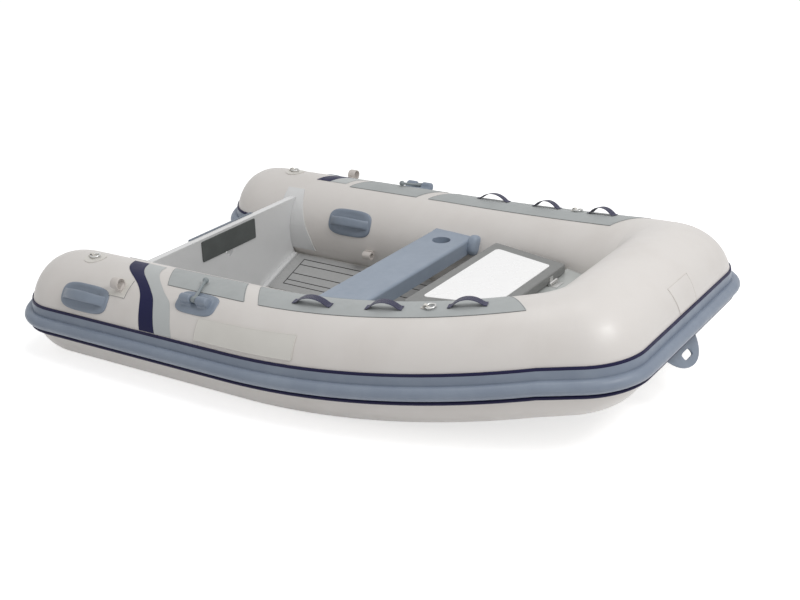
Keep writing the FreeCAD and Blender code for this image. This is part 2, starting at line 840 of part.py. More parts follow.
def on_floor(shape):
    """Lays a shape modelled flat, with y measured up the slope, on the port side of the V."""
    shape.rotate(V(0, 0, 0), V(1, 0, 0), DEADRISE)
    shape.translate(V(0, 0, KEEL_INNER_Z + JOINT_GAP / cos(DEADRISE)))
    return shape


def seamed_pad(aft, fore, low_y, high_y, base_z, seam_ys, seam_aft, seam_fore):
    """Foam sheet with black-caulked grooves: lengthwise ones and one across each end."""
    pad = box(aft, fore, low_y, high_y, base_z, base_z + PAD_T)
    groove_z = base_z + PAD_T - PAD_SEAM_DEPTH
    half = PAD_SEAM_W / 2
    for y in seam_ys:
        pad = pad.cut(box(seam_aft, seam_fore, y - half, y + half, groove_z, base_z + PAD_T + CUT))
    first, last = min(seam_ys), max(seam_ys)
    for x in (seam_aft, seam_fore):
        pad = pad.cut(box(x - half, x + half, first - half, last + half, groove_z, base_z + PAD_T + CUT))
    return pad


def side_pad():
    slope = cos(DEADRISE)
    pad = seamed_pad(PAD_AFT_X, PAD_FORE_X, PAD_INNER_Y / slope, PAD_OUTER_Y / slope, 0.0,
                     [(PAD_OUTER_Y - inset) / slope for inset in PAD_SEAM_INSETS], PAD_SEAM_AFT_X, PAD_SEAM_FORE_X)
    return on_floor(pad).cut(tube_length(PAD_AFT_X, PAD_FORE_X, SEAT_GAP + JOINT_GAP))


def centre_pad():
    return seamed_pad(PAD_AFT_X, PAD_FORE_X, -PAD_CENTRE_HALF_W, PAD_CENTRE_HALF_W, sole_top() + JOINT_GAP,
                      PAD_CENTRE_SEAM_YS, PAD_SEAM_AFT_X, PAD_SEAM_FORE_X)


def sill():
    slope = cos(DEADRISE)
    aft, fore = board_face_x(), board_face_x() + SILL_W
    bar = box(aft, fore, SILL_INNER_Y / slope, (PAD_OUTER_Y - SILL_END_INSET) / slope, 0.0, SILL_H)
    return on_floor(bar).cut(tube_length(aft - CUT, fore + CUT, SEAT_GAP + TRANSOM_FLANGE_T + JOINT_GAP))


# Transom

def transom_side_radius():
    return TUBE_RADIUS + SEAT_GAP + TRANSOM_FLANGE_T + TRANSOM_FIT_GAP


def transom():
    """Flat board: level top, sides hollowed round the tubes, foot following the V."""
    x = TRANSOM_TOP_X - TRANSOM_T
    radius = transom_side_radius()
    level = tube_height(TRANSOM_TOP_X - TRANSOM_T / 2)
    top_y = TUBE_HALF_SPACING - math.sqrt(radius ** 2 - (TRANSOM_TOP_Z - level) ** 2)
    foot_angle = chine_angle(x)
    foot = V(x, TUBE_HALF_SPACING - radius * sin(foot_angle), level - radius * cos(foot_angle))
    foot.z = floor_z(x, foot.y) + JOINT_GAP
    waist = V(x, TUBE_HALF_SPACING - radius, level)
    keel = V(x, 0, floor_z(x, 0) + JOINT_GAP)
    port_top = V(x, top_y, TRANSOM_TOP_Z)
    wire = Part.Wire([
        line(mirror_point(port_top), port_top),
        arc3(port_top, waist, foot),
        line(foot, keel),
        line(keel, mirror_point(foot)),
        arc3(mirror_point(foot), mirror_point(waist), mirror_point(port_top)),
    ])
    board = Part.Face(wire).extrude(V(TRANSOM_T, 0, 0))
    hole = Part.makeCylinder(TRANSOM_HOLE_R, TRANSOM_T + 2 * CUT, V(x - CUT, 0, TRANSOM_HOLE_Z), V(1, 0, 0))
    return board.cut(hole)


def transom_flange():
    """Plate bent round the inboard side of the port tube, which ties the board to it, its fore edge slanted."""
    aft_xs = [TRANSOM_FLANGE_AFT_X] * len(TRANSOM_FLANGE_ANGLES)
    return band_round(TRANSOM_FLANGE_ANGLES, aft_xs, TRANSOM_FLANGE_FORE_XS, TRANSOM_FLANGE_T)


def rounded_box(x0, x1, y0, y1, z0, z1, radius, direction):
    """Box whose four edges along one direction are rounded."""
    solid = box(x0, x1, y0, y1, z0, z1)
    edges = [e for e in solid.Edges if abs(e.tangentAt(e.FirstParameter).dot(direction)) > 0.9]
    return solid.makeFillet(radius, edges)


def inner_engine_pad():
    top = TRANSOM_TOP_Z - PAD_INNER_TOP_DROP
    x = TRANSOM_TOP_X + JOINT_GAP
    return rounded_box(x, x + ENGINE_PAD_T, -PAD_INNER_HALF_W, PAD_INNER_HALF_W, top - PAD_INNER_H, top,
                       ENGINE_PAD_T, V(1, 0, 0))


def outer_engine_pad():
    top = TRANSOM_TOP_Z + PAD_OUTER_PROUD
    x = TRANSOM_TOP_X - TRANSOM_T - JOINT_GAP
    return rounded_box(x - PAD_OUTER_T, x, -PAD_OUTER_HALF_W, PAD_OUTER_HALF_W, top - PAD_OUTER_H, top,
                       ENGINE_PAD_T, V(1, 0, 0))


# Bow locker

def trapezoid(x0, half0, x1, half1, z0, z1, radius):
    """Upright block with a trapezoid plan, narrower forward, its corners rounded."""
    wire = polygon([V(x0, -half0, z0), V(x1, -half1, z0), V(x1, half1, z0), V(x0, half0, z0)])
    solid = Part.Face(wire).extrude(V(0, 0, z1 - z0))
    edges = [e for e in solid.Edges if abs(e.tangentAt(e.FirstParameter).z) > 0.9]
    return solid.makeFillet(radius, edges)


def lid_half_w(x):
    share = (x - LID_AFT_X) / (LID_FORE_X - LID_AFT_X)
    return LID_AFT_HALF_W + (LID_FORE_HALF_W - LID_AFT_HALF_W) * share


def lid_block(inset, z0, z1, radius):
    x0, x1 = LID_AFT_X + inset, LID_FORE_X - inset
    return trapezoid(x0, lid_half_w(x0) - inset, x1, lid_half_w(x1) - inset, z0, z1, radius)


def panel_block(grow, z0, z1):
    x0 = LID_AFT_X + PANEL_MARGIN_AFT - grow
    x1 = LID_FORE_X - PANEL_MARGIN_FORE + grow
    half0 = lid_half_w(x0) - PANEL_MARGIN_SIDE + grow
    half1 = lid_half_w(x1) - PANEL_MARGIN_SIDE + grow
    return trapezoid(x0, half0, x1, half1, z0, z1, PANEL_ROUND)


def locker_lid():
    """Pressed lid: rounded rim, turned-down skirt, open below, a shallow tray for the panel."""
    low = LID_TOP_Z - LID_H
    shell = lid_block(0.0, low, LID_TOP_Z, LID_ROUND)
    top_edges = [e for e in shell.Edges if min(v.Z for v in e.Vertexes) > LID_TOP_Z - CUT]
    shell = shell.makeFillet(LID_ROUND / 2, top_edges)
    shell = shell.cut(lid_block(LID_T, low - CUT, LID_TOP_Z - LID_T - PANEL_SINK, LID_ROUND - LID_T))
    return shell.cut(panel_block(JOINT_GAP, LID_TOP_Z - PANEL_SINK, LID_TOP_Z + CUT))


def lid_panel():
    low = LID_TOP_Z - PANEL_SINK + JOINT_GAP
    return panel_block(0.0, low, low + PANEL_T)


def below_floor(x, gap):
    half = LID_AFT_HALF_W + CUT
    deep = KEEL_INNER_Z - LID_TOP_Z
    return polygon([
        V(x, -half, deep), V(x, half, deep), V(x, half, floor_z(x, half) + gap),
        V(x, 0, floor_z(x, 0) + gap), V(x, -half, floor_z(x, half) + gap),
    ])


def floor_cutter(x0, x1, gap):
    """Everything below the hull plate's inner face between two places, raised by a gap."""
    return loft([below_floor(x, gap) for x in even_steps(x0, x1, HULL_STEPS)])


def locker_box():
    """Walls of the bow locker, standing on the V and open above under the lid."""
    top = LID_TOP_Z - LID_H - LOCKER_LID_GAP
    inset = LID_T + LOCKER_INSET
    walls = lid_block(inset, KEEL_INNER_Z, top, LID_ROUND)
    walls = walls.cut(lid_block(inset + LOCKER_T, KEEL_INNER_Z - CUT, top + CUT, LID_ROUND - LOCKER_T))
    return walls.cut(floor_cutter(LID_AFT_X - CUT, LID_FORE_X + CUT, JOINT_GAP))


def deck_top():
    return LID_TOP_Z - LID_H - LOCKER_LID_GAP


DECK_EDGE_STEPS = 6


def inner_reach(station, z):
    """How far inboard of its centre the tube reaches at a height, with the deck's gap."""
    return math.sqrt((station.half_h + BOW_DECK_GAP) ** 2 - (z - station.z) ** 2)


def deck_edge(x, z):
    """Where the inboard side of the port tube crosses a height, in the plane at x."""
    centre = x
    for _ in range(8):
        station = side_station(centre)
        centre = x + inner_reach(station, z) * station.nx
    return V(x, station.y - inner_reach(station, z) * station.ny, z)


def bow_deck():
    """Small level deck between the locker and the bow tube, its edges following the tubes."""
    x0 = LID_FORE_X - LID_T - LOCKER_INSET + JOINT_GAP
    low = deck_top() - BOW_DECK_T
    pivot_x, pivot_y = bow_pivot()
    x1 = pivot_x - BOW_DECK_CORNER
    port = [deck_edge(x, low) for x in even_steps(x0, x1, DECK_EDGE_STEPS)]
    front = front_station(0.0)
    port.append(V(front.x - inner_reach(front, front.z), pivot_y - BOW_DECK_CORNER, low))
    wire = polygon(port + [mirror_point(p) for p in reversed(port)])
    return Part.Face(wire).extrude(V(0, 0, BOW_DECK_T))


def cylinder_y(radius, length, x, y_mid, z):
    return Part.makeCylinder(radius, length, V(x, y_mid - length / 2, z), V(0, 1, 0))


def hinge_axis():
    """Axis of the lid's hinges, x and z."""
    return LID_FORE_X + HINGE_SWING_GAP + HINGE_R, deck_top() + HINGE_SWING_GAP + HINGE_R


def hinge_foot(y):
    """Plate on the bow deck with the two outer knuckles."""
    x, z = hinge_axis()
    half = HINGE_LEAF_W / 2 + JOINT_GAP + HINGE_KNUCKLE_L
    low = deck_top() + JOINT_GAP
    foot = box(x, x + HINGE_FOOT_L, y - half, y + half, low, low + HINGE_LEAF_T)
    for side in (-1, 1):
        foot = foot.fuse(cylinder_y(HINGE_R, HINGE_KNUCKLE_L, x, y + side * (half - HINGE_KNUCKLE_L / 2), z))
    foot = foot.cut(cylinder_y(HINGE_R + HINGE_SWING_GAP, HINGE_LEAF_W + 2 * JOINT_GAP, x, y, z))
    return foot.cut(cylinder_y(HINGE_PIN_R + HINGE_PIN_GAP, half * 2 + CUT, x, y, z))


def hinge_leaf(y):
    """Leaf on the lid's fore skirt with the middle knuckle and the pin."""
    x, z = hinge_axis()
    aft = LID_FORE_X + JOINT_GAP
    leaf = box(aft, aft + HINGE_LEAF_T, y - HINGE_LEAF_W / 2, y + HINGE_LEAF_W / 2, z, z + HINGE_LEAF_H)
    knuckle = cylinder_y(HINGE_R, HINGE_LEAF_W, x, y, z)
    pin = cylinder_y(HINGE_PIN_R, HINGE_LEAF_W + 2 * HINGE_KNUCKLE_L, x, y, z)
    return leaf.fuse(knuckle).fuse(pin)


def hinges(maker):
    return Part.makeCompound([maker(HINGE_Y), maker(-HINGE_Y)])


# Thwart

def tube_length(x0, x1, offset):
    """Short length of the port tube, grown by an offset."""
    mid = (x0 + x1) / 2
    return loft([tube_ring(side_station(x), offset) for x in (x0, (x0 + mid) / 2, mid, (mid + x1) / 2, x1)])


def seat():
    """Box thwart, open below, with a cup recess, its ends hollowed to sit on the brackets."""
    low = SEAT_TOP_Z - SEAT_H
    block = rounded_box(SEAT_AFT_X, SEAT_FORE_X, -SEAT_HALF_L, SEAT_HALF_L, low, SEAT_TOP_Z,
                        SEAT_CORNER, V(0, 0, 1))
    block = block.makeFillet(SEAT_ROUND, [e for e in block.Edges if e.BoundBox.ZMin > SEAT_TOP_Z - CUT])
    inner = SEAT_HALF_L - SEAT_END_WALL
    block = block.cut(box(SEAT_AFT_X + SEAT_WALL, SEAT_FORE_X - SEAT_WALL, -inner, inner, low - CUT,
                          SEAT_TOP_Z - SEAT_WALL))
    cup_low = SEAT_TOP_Z - CUP_DEPTH
    block = block.fuse(Part.makeCylinder(CUP_R + SEAT_WALL / 2, CUP_DEPTH, V(CUP_X, CUP_Y, cup_low - SEAT_WALL)))
    block = block.cut(Part.makeCylinder(CUP_R, CUP_DEPTH + CUT, V(CUP_X, CUP_Y, cup_low)))
    reach = SEAT_CORNER * 2
    tube = tube_length(SEAT_AFT_X - reach, SEAT_FORE_X + reach, SEAT_GAP + BRACKET_T + JOINT_GAP)
    return block.cut(tube).cut(mirror_y(tube))


def seat_bracket():
    """Moulded seat end on the port tube, rounded out forward of the thwart."""
    mid = (SEAT_AFT_X + BRACKET_FORE_X) / 2
    return oval_sheet(mid, -BRACKET_ANGLE, BRACKET_FORE_X - SEAT_AFT_X, BRACKET_ARC, SEAT_GAP, BRACKET_T,
                      BRACKET_ROUND)


# Fittings on the tubes

FRAME_STEP = 5.0


def tube_frame(x, angle, lift):
    """Placement on the port tube's skin: local X forward along it, local Y round it, local Z straight out."""
    base = side_station(x).skin(angle, lift)
    along = side_station(x + FRAME_STEP).skin(angle, lift) - side_station(x - FRAME_STEP).skin(angle, lift)
    around = side_station(x).skin(angle + FRAME_STEP, lift) - side_station(x).skin(angle - FRAME_STEP, lift)
    along.normalize()
    out = along.cross(around)
    out.normalize()
    around = out.cross(along)
    return FreeCAD.Matrix(along.x, around.x, out.x, base.x, along.y, around.y, out.y, base.y,
                          along.z, around.z, out.z, base.z, 0, 0, 0, 1)


def on_tube(shape, x, angle, lift):
    placed = shape.copy()
    placed.Placement = FreeCAD.Placement(tube_frame(x, angle, lift)).multiply(placed.Placement)
    return placed


def arch(length, rise, thickness, width, foot=0.0):
    """Arched band over the local origin, feet on the local XY plane, optionally with flat feet."""
    half = length / 2 - foot
    outer = arc3(V(-half, 0, 0), V(0, 0, rise), V(half, 0, 0))
    inner_half = half - thickness
    inner = arc3(V(inner_half, 0, 0), V(0, 0, rise - thickness), V(-inner_half, 0, 0))
    wire = Part.Wire([outer, line(V(half, 0, 0), V(inner_half, 0, 0)), inner,
                      line(V(-inner_half, 0, 0), V(-half, 0, 0))])
    band = Part.Face(wire).extrude(V(0, width, 0))
    band.translate(V(0, -width / 2, 0))
    if foot > 0.0:
        for side in (-1, 1):
            reach = half - 2 * thickness
            x0, x1 = sorted((side * reach, side * length / 2))
            band = band.fuse(box(x0, x1, -width / 2, width / 2, 0.0, thickness))
    return band


def leaf_prism(length, width, end_width, height):
    """Prism with a leaf-shaped plan, widest in the middle."""
    half, wide, end = length / 2, width / 2, end_width / 2
    wire = Part.Wire([
        arc3(V(-half, -end, 0), V(0, -wide, 0), V(half, -end, 0)),
        line(V(half, -end, 0), V(half, end, 0)),
        arc3(V(half, end, 0), V(0, wide, 0), V(-half, end, 0)),
        line(V(-half, end, 0), V(-half, -end, 0)),
    ])
    return Part.Face(wire).extrude(V(0, 0, height))


def grip(x, angle, arc, pad_length):
    """Moulded hand grip: oval pad on the tube and a leaf-shaped bar arched over it."""
    pad = oval_sheet(x, angle, pad_length, arc, SEAT_GAP, GRIP_BASE_T, GRIP_ROUND)
    length = pad_length - 2 * GRIP_END
    bar = arch(length, GRIP_BAR_OUT, GRIP_BAR_T, GRIP_BAR_W)
    bar = bar.common(leaf_prism(length, GRIP_BAR_W, GRIP_BAR_END_W, GRIP_BAR_OUT + CUT))
    return pad.fuse(on_tube(bar, x, angle, SEAT_GAP + GRIP_BASE_T / 2))


def ring_lift(x):
    """Height of a lifting ring's seat over the tube: its own patch aft, the wear patch forward."""
    return SEAT_GAP + (RING_PATCH_T if x < 0.0 else WEAR_T + JOINT_GAP)


def ring_saddle(x, angle):
    """Small base with a hooped saddle that holds one side of the ring."""
    level = SADDLE_BASE_T + RING_WIRE_R + JOINT_GAP
    half = SADDLE_W / 2
    body = box(-SADDLE_R * 2, SADDLE_R * 2, -half, half, 0.0, SADDLE_BASE_T)
    hoop = Part.makeCylinder(SADDLE_R, SADDLE_W, V(0, -half, level), V(0, 1, 0))
    body = body.fuse(hoop.common(box(-SADDLE_R, SADDLE_R, -half, half, 0.0, level + SADDLE_R)))
    body = body.fuse(box(-SADDLE_R, SADDLE_R, -half, half, 0.0, level))
    body = body.cut(Part.makeCylinder(SADDLE_BORE_R, SADDLE_W + 2 * CUT, V(0, -half - CUT, level), V(0, 1, 0)))
    foot = SADDLE_BASE_T - (level - SADDLE_BORE_R)
    body = body.fuse(box(-SADDLE_R, SADDLE_R, -half, half, SADDLE_BASE_T - foot, SADDLE_BASE_T))
    return on_tube(body, x - RING_R, angle, ring_lift(x) + STRAP_LIFT - JOINT_GAP)


def ring_patches():
    x, angle = RING_PLACES[0]
    arc = math.degrees(RING_PATCH_R / TUBE_RADIUS)
    patch = oval_sheet(x, angle, 2 * RING_PATCH_R, arc, SEAT_GAP, RING_PATCH_T, RING_PATCH_R - RING_PATCH_FLAT, 0)
    port = [patch] + [ring_saddle(*place) for place in RING_PLACES]
    return Part.makeCompound(port + [mirror_y(p) for p in port])


def lifting_rings():
    rings = []
    for x, angle in RING_PLACES:
        lift = ring_lift(x) + STRAP_LIFT + SADDLE_BASE_T + RING_WIRE_R
        for side in (1, -1):
            ring = on_tube(Part.makeTorus(RING_R, RING_WIRE_R), x, angle, lift)
            rings.append(ring if side > 0 else mirror_y(ring))
    return Part.makeCompound(rings)


def paddle_patches():
    arc = math.degrees(LOOP_PATCH_HALF / TUBE_RADIUS)
    xs = (LOOP_X - LOOP_PATCH_HALF, LOOP_X, LOOP_X + LOOP_PATCH_HALF)
    patch = sheet([side_station(x) for x in xs], [LOOP_ANGLE - arc] * 3, [LOOP_ANGLE + arc] * 3,
                  SEAT_GAP, LOOP_PATCH_T)
    return both_sides(patch)


def hoop_on_foot(r_out, r_in, length, foot_w, foot_t):
    """Short tube lying along local X on a flat foot."""
    tube = Part.makeCylinder(r_out, length, V(-length / 2, 0, r_out), V(1, 0, 0))
    foot = box(-length / 2, length / 2, -foot_w / 2, foot_w / 2, 0.0, foot_t)
    bore = Part.makeCylinder(r_in, length + 2 * CUT, V(-length / 2 - CUT, 0, r_out), V(1, 0, 0))
    return tube.fuse(foot).cut(bore)


def paddle_loops():
    lift = SEAT_GAP + LOOP_PATCH_T + JOINT_GAP
    return both_sides(on_tube(hoop_on_foot(LOOP_R_OUT, LOOP_R_IN, LOOP_W, LOOP_FOOT_W, LOOP_FOOT_T),
                              LOOP_X, LOOP_ANGLE, lift))


def paddle_clips():
    hoop = hoop_on_foot(CLIP_R_OUT, CLIP_R_IN, CLIP_L, CLIP_R_OUT * 2, LOOP_FOOT_T)
    return both_sides(on_tube(hoop, CLIP_X, -CLIP_ANGLE, SEAT_GAP))


def cylinder_x(radius, length, x_mid, z):
    return Part.makeCylinder(radius, length, V(x_mid - length / 2, 0, z), V(1, 0, 0))


def barrel_lift():
    """Height of the rowlock's axis over the tube's skin."""
    return SEAT_GAP + ROWLOCK_BASE_T + BARREL_R


def rowlock():
    """Oval pad with two bored barrels in line, a gap between them for the pin's hub."""
    pad = oval_sheet(ROWLOCK_X, ROWLOCK_ANGLE, ROWLOCK_L, ROWLOCK_ARC, SEAT_GAP, ROWLOCK_BASE_T, ROWLOCK_ROUND)
    body = pad
    for side in (-1, 1):
        mid = side * (BARREL_GAP + BARREL_L) / 2
        barrel = cylinder_x(BARREL_R, BARREL_L, mid, 0.0)
        saddle = box(mid - BARREL_L / 2, mid + BARREL_L / 2, -BARREL_SADDLE_W / 2, BARREL_SADDLE_W / 2,
                     -BARREL_R - ROWLOCK_BASE_T / 2, 0.0)
        bored = barrel.fuse(saddle).cut(cylinder_x(BARREL_BORE_R, BARREL_L + 2 * CUT, mid, 0.0))
        body = body.fuse(on_tube(bored, ROWLOCK_X, ROWLOCK_ANGLE, barrel_lift()))
    return body


def rowlock_pin():
    """Hub on the barrels' axis, a shaft that lies inboard over the tube, and a ball on its end."""
    hub = cylinder_x(PIN_HUB_R, PIN_HUB_L, 0.0, 0.0).fuse(cylinder_x(PIN_AXLE_R, PIN_AXLE_L, 0.0, 0.0))
    inboard = cos(PIN_YAW_ANGLE)
    way = V(-sin(PIN_YAW_ANGLE), -inboard * cos(PIN_DROP_ANGLE), -inboard * sin(PIN_DROP_ANGLE))
    shaft = Part.makeCylinder(PIN_SHAFT_R, PIN_L, V(0, 0, 0), way)
    ball = Part.makeSphere(PIN_BALL_R, way * PIN_L)
    return on_tube(hub.fuse(shaft).fuse(ball), ROWLOCK_X, ROWLOCK_ANGLE, barrel_lift())


WEAR_STEPS = 9
WEAR_END_STEPS = 6


def wear_edges(x):
    """Inner and outer edge of the wear patches, drawn inboard toward the bow."""
    aft_x, bow_x = WEAR_FORE_OUTER_XS
    share = min(max((x - aft_x) / (bow_x - aft_x), 0.0), 1.0)
    return [a + (b - a) * share for a, b in zip(WEAR_AFT_ANGLES, WEAR_BOW_ANGLES)]


def wear_rows(x0, x1, steps):
    """Evenly spaced places with both edges of the patch and the share of the way between."""
    rows = []
    for i in range(steps + 1):
        x = x0 + (x1 - x0) * i / steps
        low, high = wear_edges(x)
        rows.append((x, low, high, i / steps))
    return rows


def wear_patch(inner_xs, outer_xs):
    """Non-slip patch over the crown, both ends cut on the slant."""
    aft_i, fore_i = inner_xs
    aft_o, fore_o = outer_xs
    aft = [(x, low, low + WEAR_TIP_ARC + (high - low - WEAR_TIP_ARC) * share)
           for x, low, high, share in wear_rows(aft_i, aft_o, WEAR_END_STEPS)]
    middle = [(x, low, high) for x, low, high, _ in wear_rows(aft_o, fore_i, WEAR_STEPS)]
    fore = [(x, low + (high - WEAR_TIP_ARC - low) * share, high)
            for x, low, high, share in wear_rows(fore_i, fore_o, WEAR_END_STEPS)]
    parts = [loft([sector_wire(side_station(x), a, b, SEAT_GAP, WEAR_T) for x, a, b in rows])
             for rows in (aft, middle, fore)]
    return parts[1].fuse(parts[0]).fuse(parts[2])


def strap(span, angle):
    x0, x1 = span
    band = arch(x1 - x0, STRAP_RISE, STRAP_T, STRAP_W, STRAP_FOOT_L)
    return on_tube(band, (x0 + x1) / 2, angle, SEAT_GAP + WEAR_T + STRAP_LIFT)


def stripe(aft_xs, fore_xs):
    """S-shaped band from the crown of the tube down to the strake."""
    return band_round(STRIPE_ANGLES, aft_xs, fore_xs, STRIPE_T)


PLATE_STEPS = 6


def name_plate():
    """Blank raised plate on the tube's outer side."""
    x0, x1 = PLATE_SPAN
    top_aft, top_fore = PLATE_TOP_ANGLES
    shares = [i / PLATE_STEPS for i in range(PLATE_STEPS + 1)]
    stations = [side_station(x0 + (x1 - x0) * share) for share in shares]
    tops = [top_aft + (top_fore - top_aft) * share for share in shares]
    return sheet(stations, tops, [PLATE_LOW_ANGLE] * len(shares), SEAT_GAP, PLATE_T)


# Bow fittings

BOW_PATCH_STEPS = 4


def bow_patch():
    """Tapering patch on the front of the bow, its foot at the strake."""
    wires = []
    for i in range(BOW_PATCH_STEPS + 1):
        share = i / BOW_PATCH_STEPS
        angle = BOW_PATCH_TOP_ANGLE + (BOW_PATCH_LOW_ANGLE - BOW_PATCH_TOP_ANGLE) * share
        half = BOW_PATCH_HALF_TOP + (BOW_PATCH_HALF_LOW - BOW_PATCH_HALF_TOP) * share
        ends = [front_station(y) for y in (-half, half)]
        low = [e.skin(angle, SEAT_GAP) for e in ends]
        high = [e.skin(angle, SEAT_GAP + BOW_PATCH_T) for e in reversed(ends)]
        wires.append(polygon(low + high))
    return loft(wires)


def tow_handle():
    """Half-round plate with a rounded slot, on a flange under the strake at the bow."""
    front = front_station(0.0)
    foot = front.skin(TOW_ANGLE, 0.0)
    plate = Part.Face(Part.Wire([
        arc3(V(TOW_HALF_L, 0, 0), V(0, TOW_DEPTH, 0), V(-TOW_HALF_L, 0, 0)),
        line(V(-TOW_HALF_L, 0, 0), V(-TOW_HALF_L, -TOW_ROOT, 0)),
        line(V(-TOW_HALF_L, -TOW_ROOT, 0), V(TOW_HALF_L, -TOW_ROOT, 0)),
        line(V(TOW_HALF_L, -TOW_ROOT, 0), V(TOW_HALF_L, 0, 0)),
    ])).extrude(V(0, 0, TOW_T))
    slot = rounded_box(-TOW_SLOT_HALF_L, TOW_SLOT_HALF_L, TOW_SLOT_DROP, TOW_SLOT_DROP + TOW_SLOT_H,
                       -CUT, TOW_T + CUT, TOW_SLOT_H / 2 - CUT / 2, V(0, 0, 1))
    plate = plate.cut(slot)
    plate.translate(V(0, 0, -TOW_T / 2))
    down = V(cos(TOW_TILT), 0, -sin(TOW_TILT))
    across = V(0, 1, 0)
    normal = across.cross(down)
    place = FreeCAD.Matrix(across.x, down.x, normal.x, foot.x, across.y, down.y, normal.y, foot.y,
                           across.z, down.z, normal.z, foot.z, 0, 0, 0, 1)
    plate = plate.transformed(place, True)
    flange = sheet([front_station(y) for y in (-TOW_HALF_L, 0.0, TOW_HALF_L)], [TOW_ANGLE - TOW_FLANGE_ARC] * 3,
                   [TOW_ANGLE + TOW_FLANGE_ARC] * 3, SEAT_GAP, TOW_FLANGE_T)
    core = Part.makeCylinder(front.half_h + SEAT_GAP, TOW_HALF_L * 2 + CUT * 2,
                             V(front.x, -TOW_HALF_L - CUT, front.z), V(0, 1, 0))
    return flange.fuse(plate.cut(core))


# Assembly

def both_sides(*shapes):
    return Part.makeCompound(list(shapes) + [mirror_y(s) for s in shapes])


def export(name, shape):
    if shape.ShapeType == "Compound" and len(shape.Solids) == 1:
        shape = shape.Solids[0]
    shape.exportStep("parts/" + name + ".step")
    print(name, len(shape.Solids), shape.isValid(), round(shape.Volume / 1000.0, 1))


def export_pair(name, port):
    export(name + "_port", port)
    export(name + "_starboard", mirror_y(port))


def main():
    os.makedirs("parts", exist_ok=True)
    export_pair("tube", tube_side())
    export("tube_bow", tube_bow())
    export_pair("strake", carried(side_rails(), strake_section))
    export("strake_bow", carried(bow_rails(), strake_section))
    export_pair("strake_trim", strake_trims(side_rails()))
    export("strake_trim_bow", strake_trims(bow_rails()))
    export("hull", hull())
    export("keel_and_spray_rails", hull_rails())
    export("sole", sole())
    export_pair("sole_pad", side_pad())
    export("sole_pad_centre", centre_pad())
    export("floor_sills", both_sides(sill()))
    export("transom", transom())
    export("transom_flanges", both_sides(transom_flange()))
    export("engine_pad_inner", inner_engine_pad())
    export("engine_pad_outer", outer_engine_pad())
    export("locker_box", locker_box())
    export("bow_deck", bow_deck())
    export("locker_lid", locker_lid())
    export("locker_lid_panel", lid_panel())
    export("lid_hinge_feet", hinges(hinge_foot))
    export("lid_hinge_leaves", hinges(hinge_leaf))
    export("seat", seat())
    export("seat_end_brackets", both_sides(seat_bracket()))
    export_pair("grip_outer", grip(GRIP_OUTER_X, GRIP_OUTER_ANGLE, GRIP_OUTER_ARC, GRIP_OUTER_L))
    export_pair("grip_inner", grip(GRIP_INNER_X, -GRIP_INNER_ANGLE, GRIP_INNER_ARC, GRIP_INNER_L))
    export("ring_patches", ring_patches())
    export("lifting_rings", lifting_rings())
    export("paddle_patches", paddle_patches())
    export("paddle_loops", paddle_loops())
    export("paddle_clips", paddle_clips())
    export_pair("rowlock", rowlock())
    export_pair("rowlock_pin", rowlock_pin())
    export("wear_patches", both_sides(wear_patch(WEAR_AFT_INNER_XS, WEAR_AFT_OUTER_XS),
                                      wear_patch(WEAR_FORE_INNER_XS, WEAR_FORE_OUTER_XS)))
    export("grab_straps", both_sides(*[strap(span, angle) for span, angle in zip(STRAP_SPANS, STRAP_ANGLES)]))
    export("stripes_navy", both_sides(stripe(NAVY_AFT_XS, NAVY_FORE_XS)))
    export("stripes_grey", both_sides(stripe([x + STRIPE_SEAM for x in NAVY_FORE_XS], GREY_FORE_XS)))
    export("name_plates", both_sides(name_plate()))
    export("bow_patch", bow_patch())
    export("tow_handle", tow_handle())


main()
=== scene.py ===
import math

import bmesh
import bpy
import numpy as np
from mathutils import Matrix, Vector


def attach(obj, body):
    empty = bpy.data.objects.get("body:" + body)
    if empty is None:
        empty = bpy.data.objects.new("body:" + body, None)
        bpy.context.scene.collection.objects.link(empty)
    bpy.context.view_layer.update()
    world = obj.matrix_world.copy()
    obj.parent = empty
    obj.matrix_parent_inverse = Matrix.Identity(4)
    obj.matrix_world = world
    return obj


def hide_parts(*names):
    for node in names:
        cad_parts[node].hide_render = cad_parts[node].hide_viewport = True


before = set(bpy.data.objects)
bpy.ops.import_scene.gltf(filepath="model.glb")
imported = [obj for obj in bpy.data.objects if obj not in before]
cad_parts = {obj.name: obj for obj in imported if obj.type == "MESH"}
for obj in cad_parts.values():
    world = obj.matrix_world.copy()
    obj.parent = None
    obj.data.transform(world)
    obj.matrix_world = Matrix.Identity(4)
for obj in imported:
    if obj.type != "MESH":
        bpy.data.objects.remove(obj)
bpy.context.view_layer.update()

# Rigid inflatable tender at rest on still water: +X to the bow, +Y to port, +Z up, metres.
# The waterline is z = 0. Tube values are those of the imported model.

TUBE_R = 0.206
HALF_SPACING = 0.630
DOME_X = -1.060
STERN_Z = 0.165
BEND_X = -0.190
BEND_R = 2.760
BEND_DEG = 21.9
SHEER_DEG = 0.9
SHEER_R = 5.485
CORNER_PINCH = 0.012
CORNER_ARC_R = 0.207
DOME_L = 0.184
DOME_FULLNESS = 2.6
DOME_RISE = 0.035
SKIN_GAP = 0.0004
DEADRISE_DEG = 19.8
KEEL_Z = -0.107
QUARTER_X = -0.930


def srgb(red, green, blue):
    """Linear colour of a screen colour: each channel to the power 2.4 above the short straight foot."""
    channels = np.array([red, green, blue], float)
    bright = ((channels + 0.055) / 1.055) ** 2.4
    return tuple(np.where(channels > 0.04045, bright, channels / 12.92)) + (1.0,)


# The tube's skin, port side

def tube_height(x):
    """Centre height: a slow straight rise, plus a circular arc's rise forward of the bend."""
    run = np.maximum(x - BEND_X, 0.0)
    straight = STERN_Z + (x - DOME_X) * math.tan(math.radians(SHEER_DEG))
    return straight + SHEER_R - np.sqrt(SHEER_R ** 2 - run ** 2)


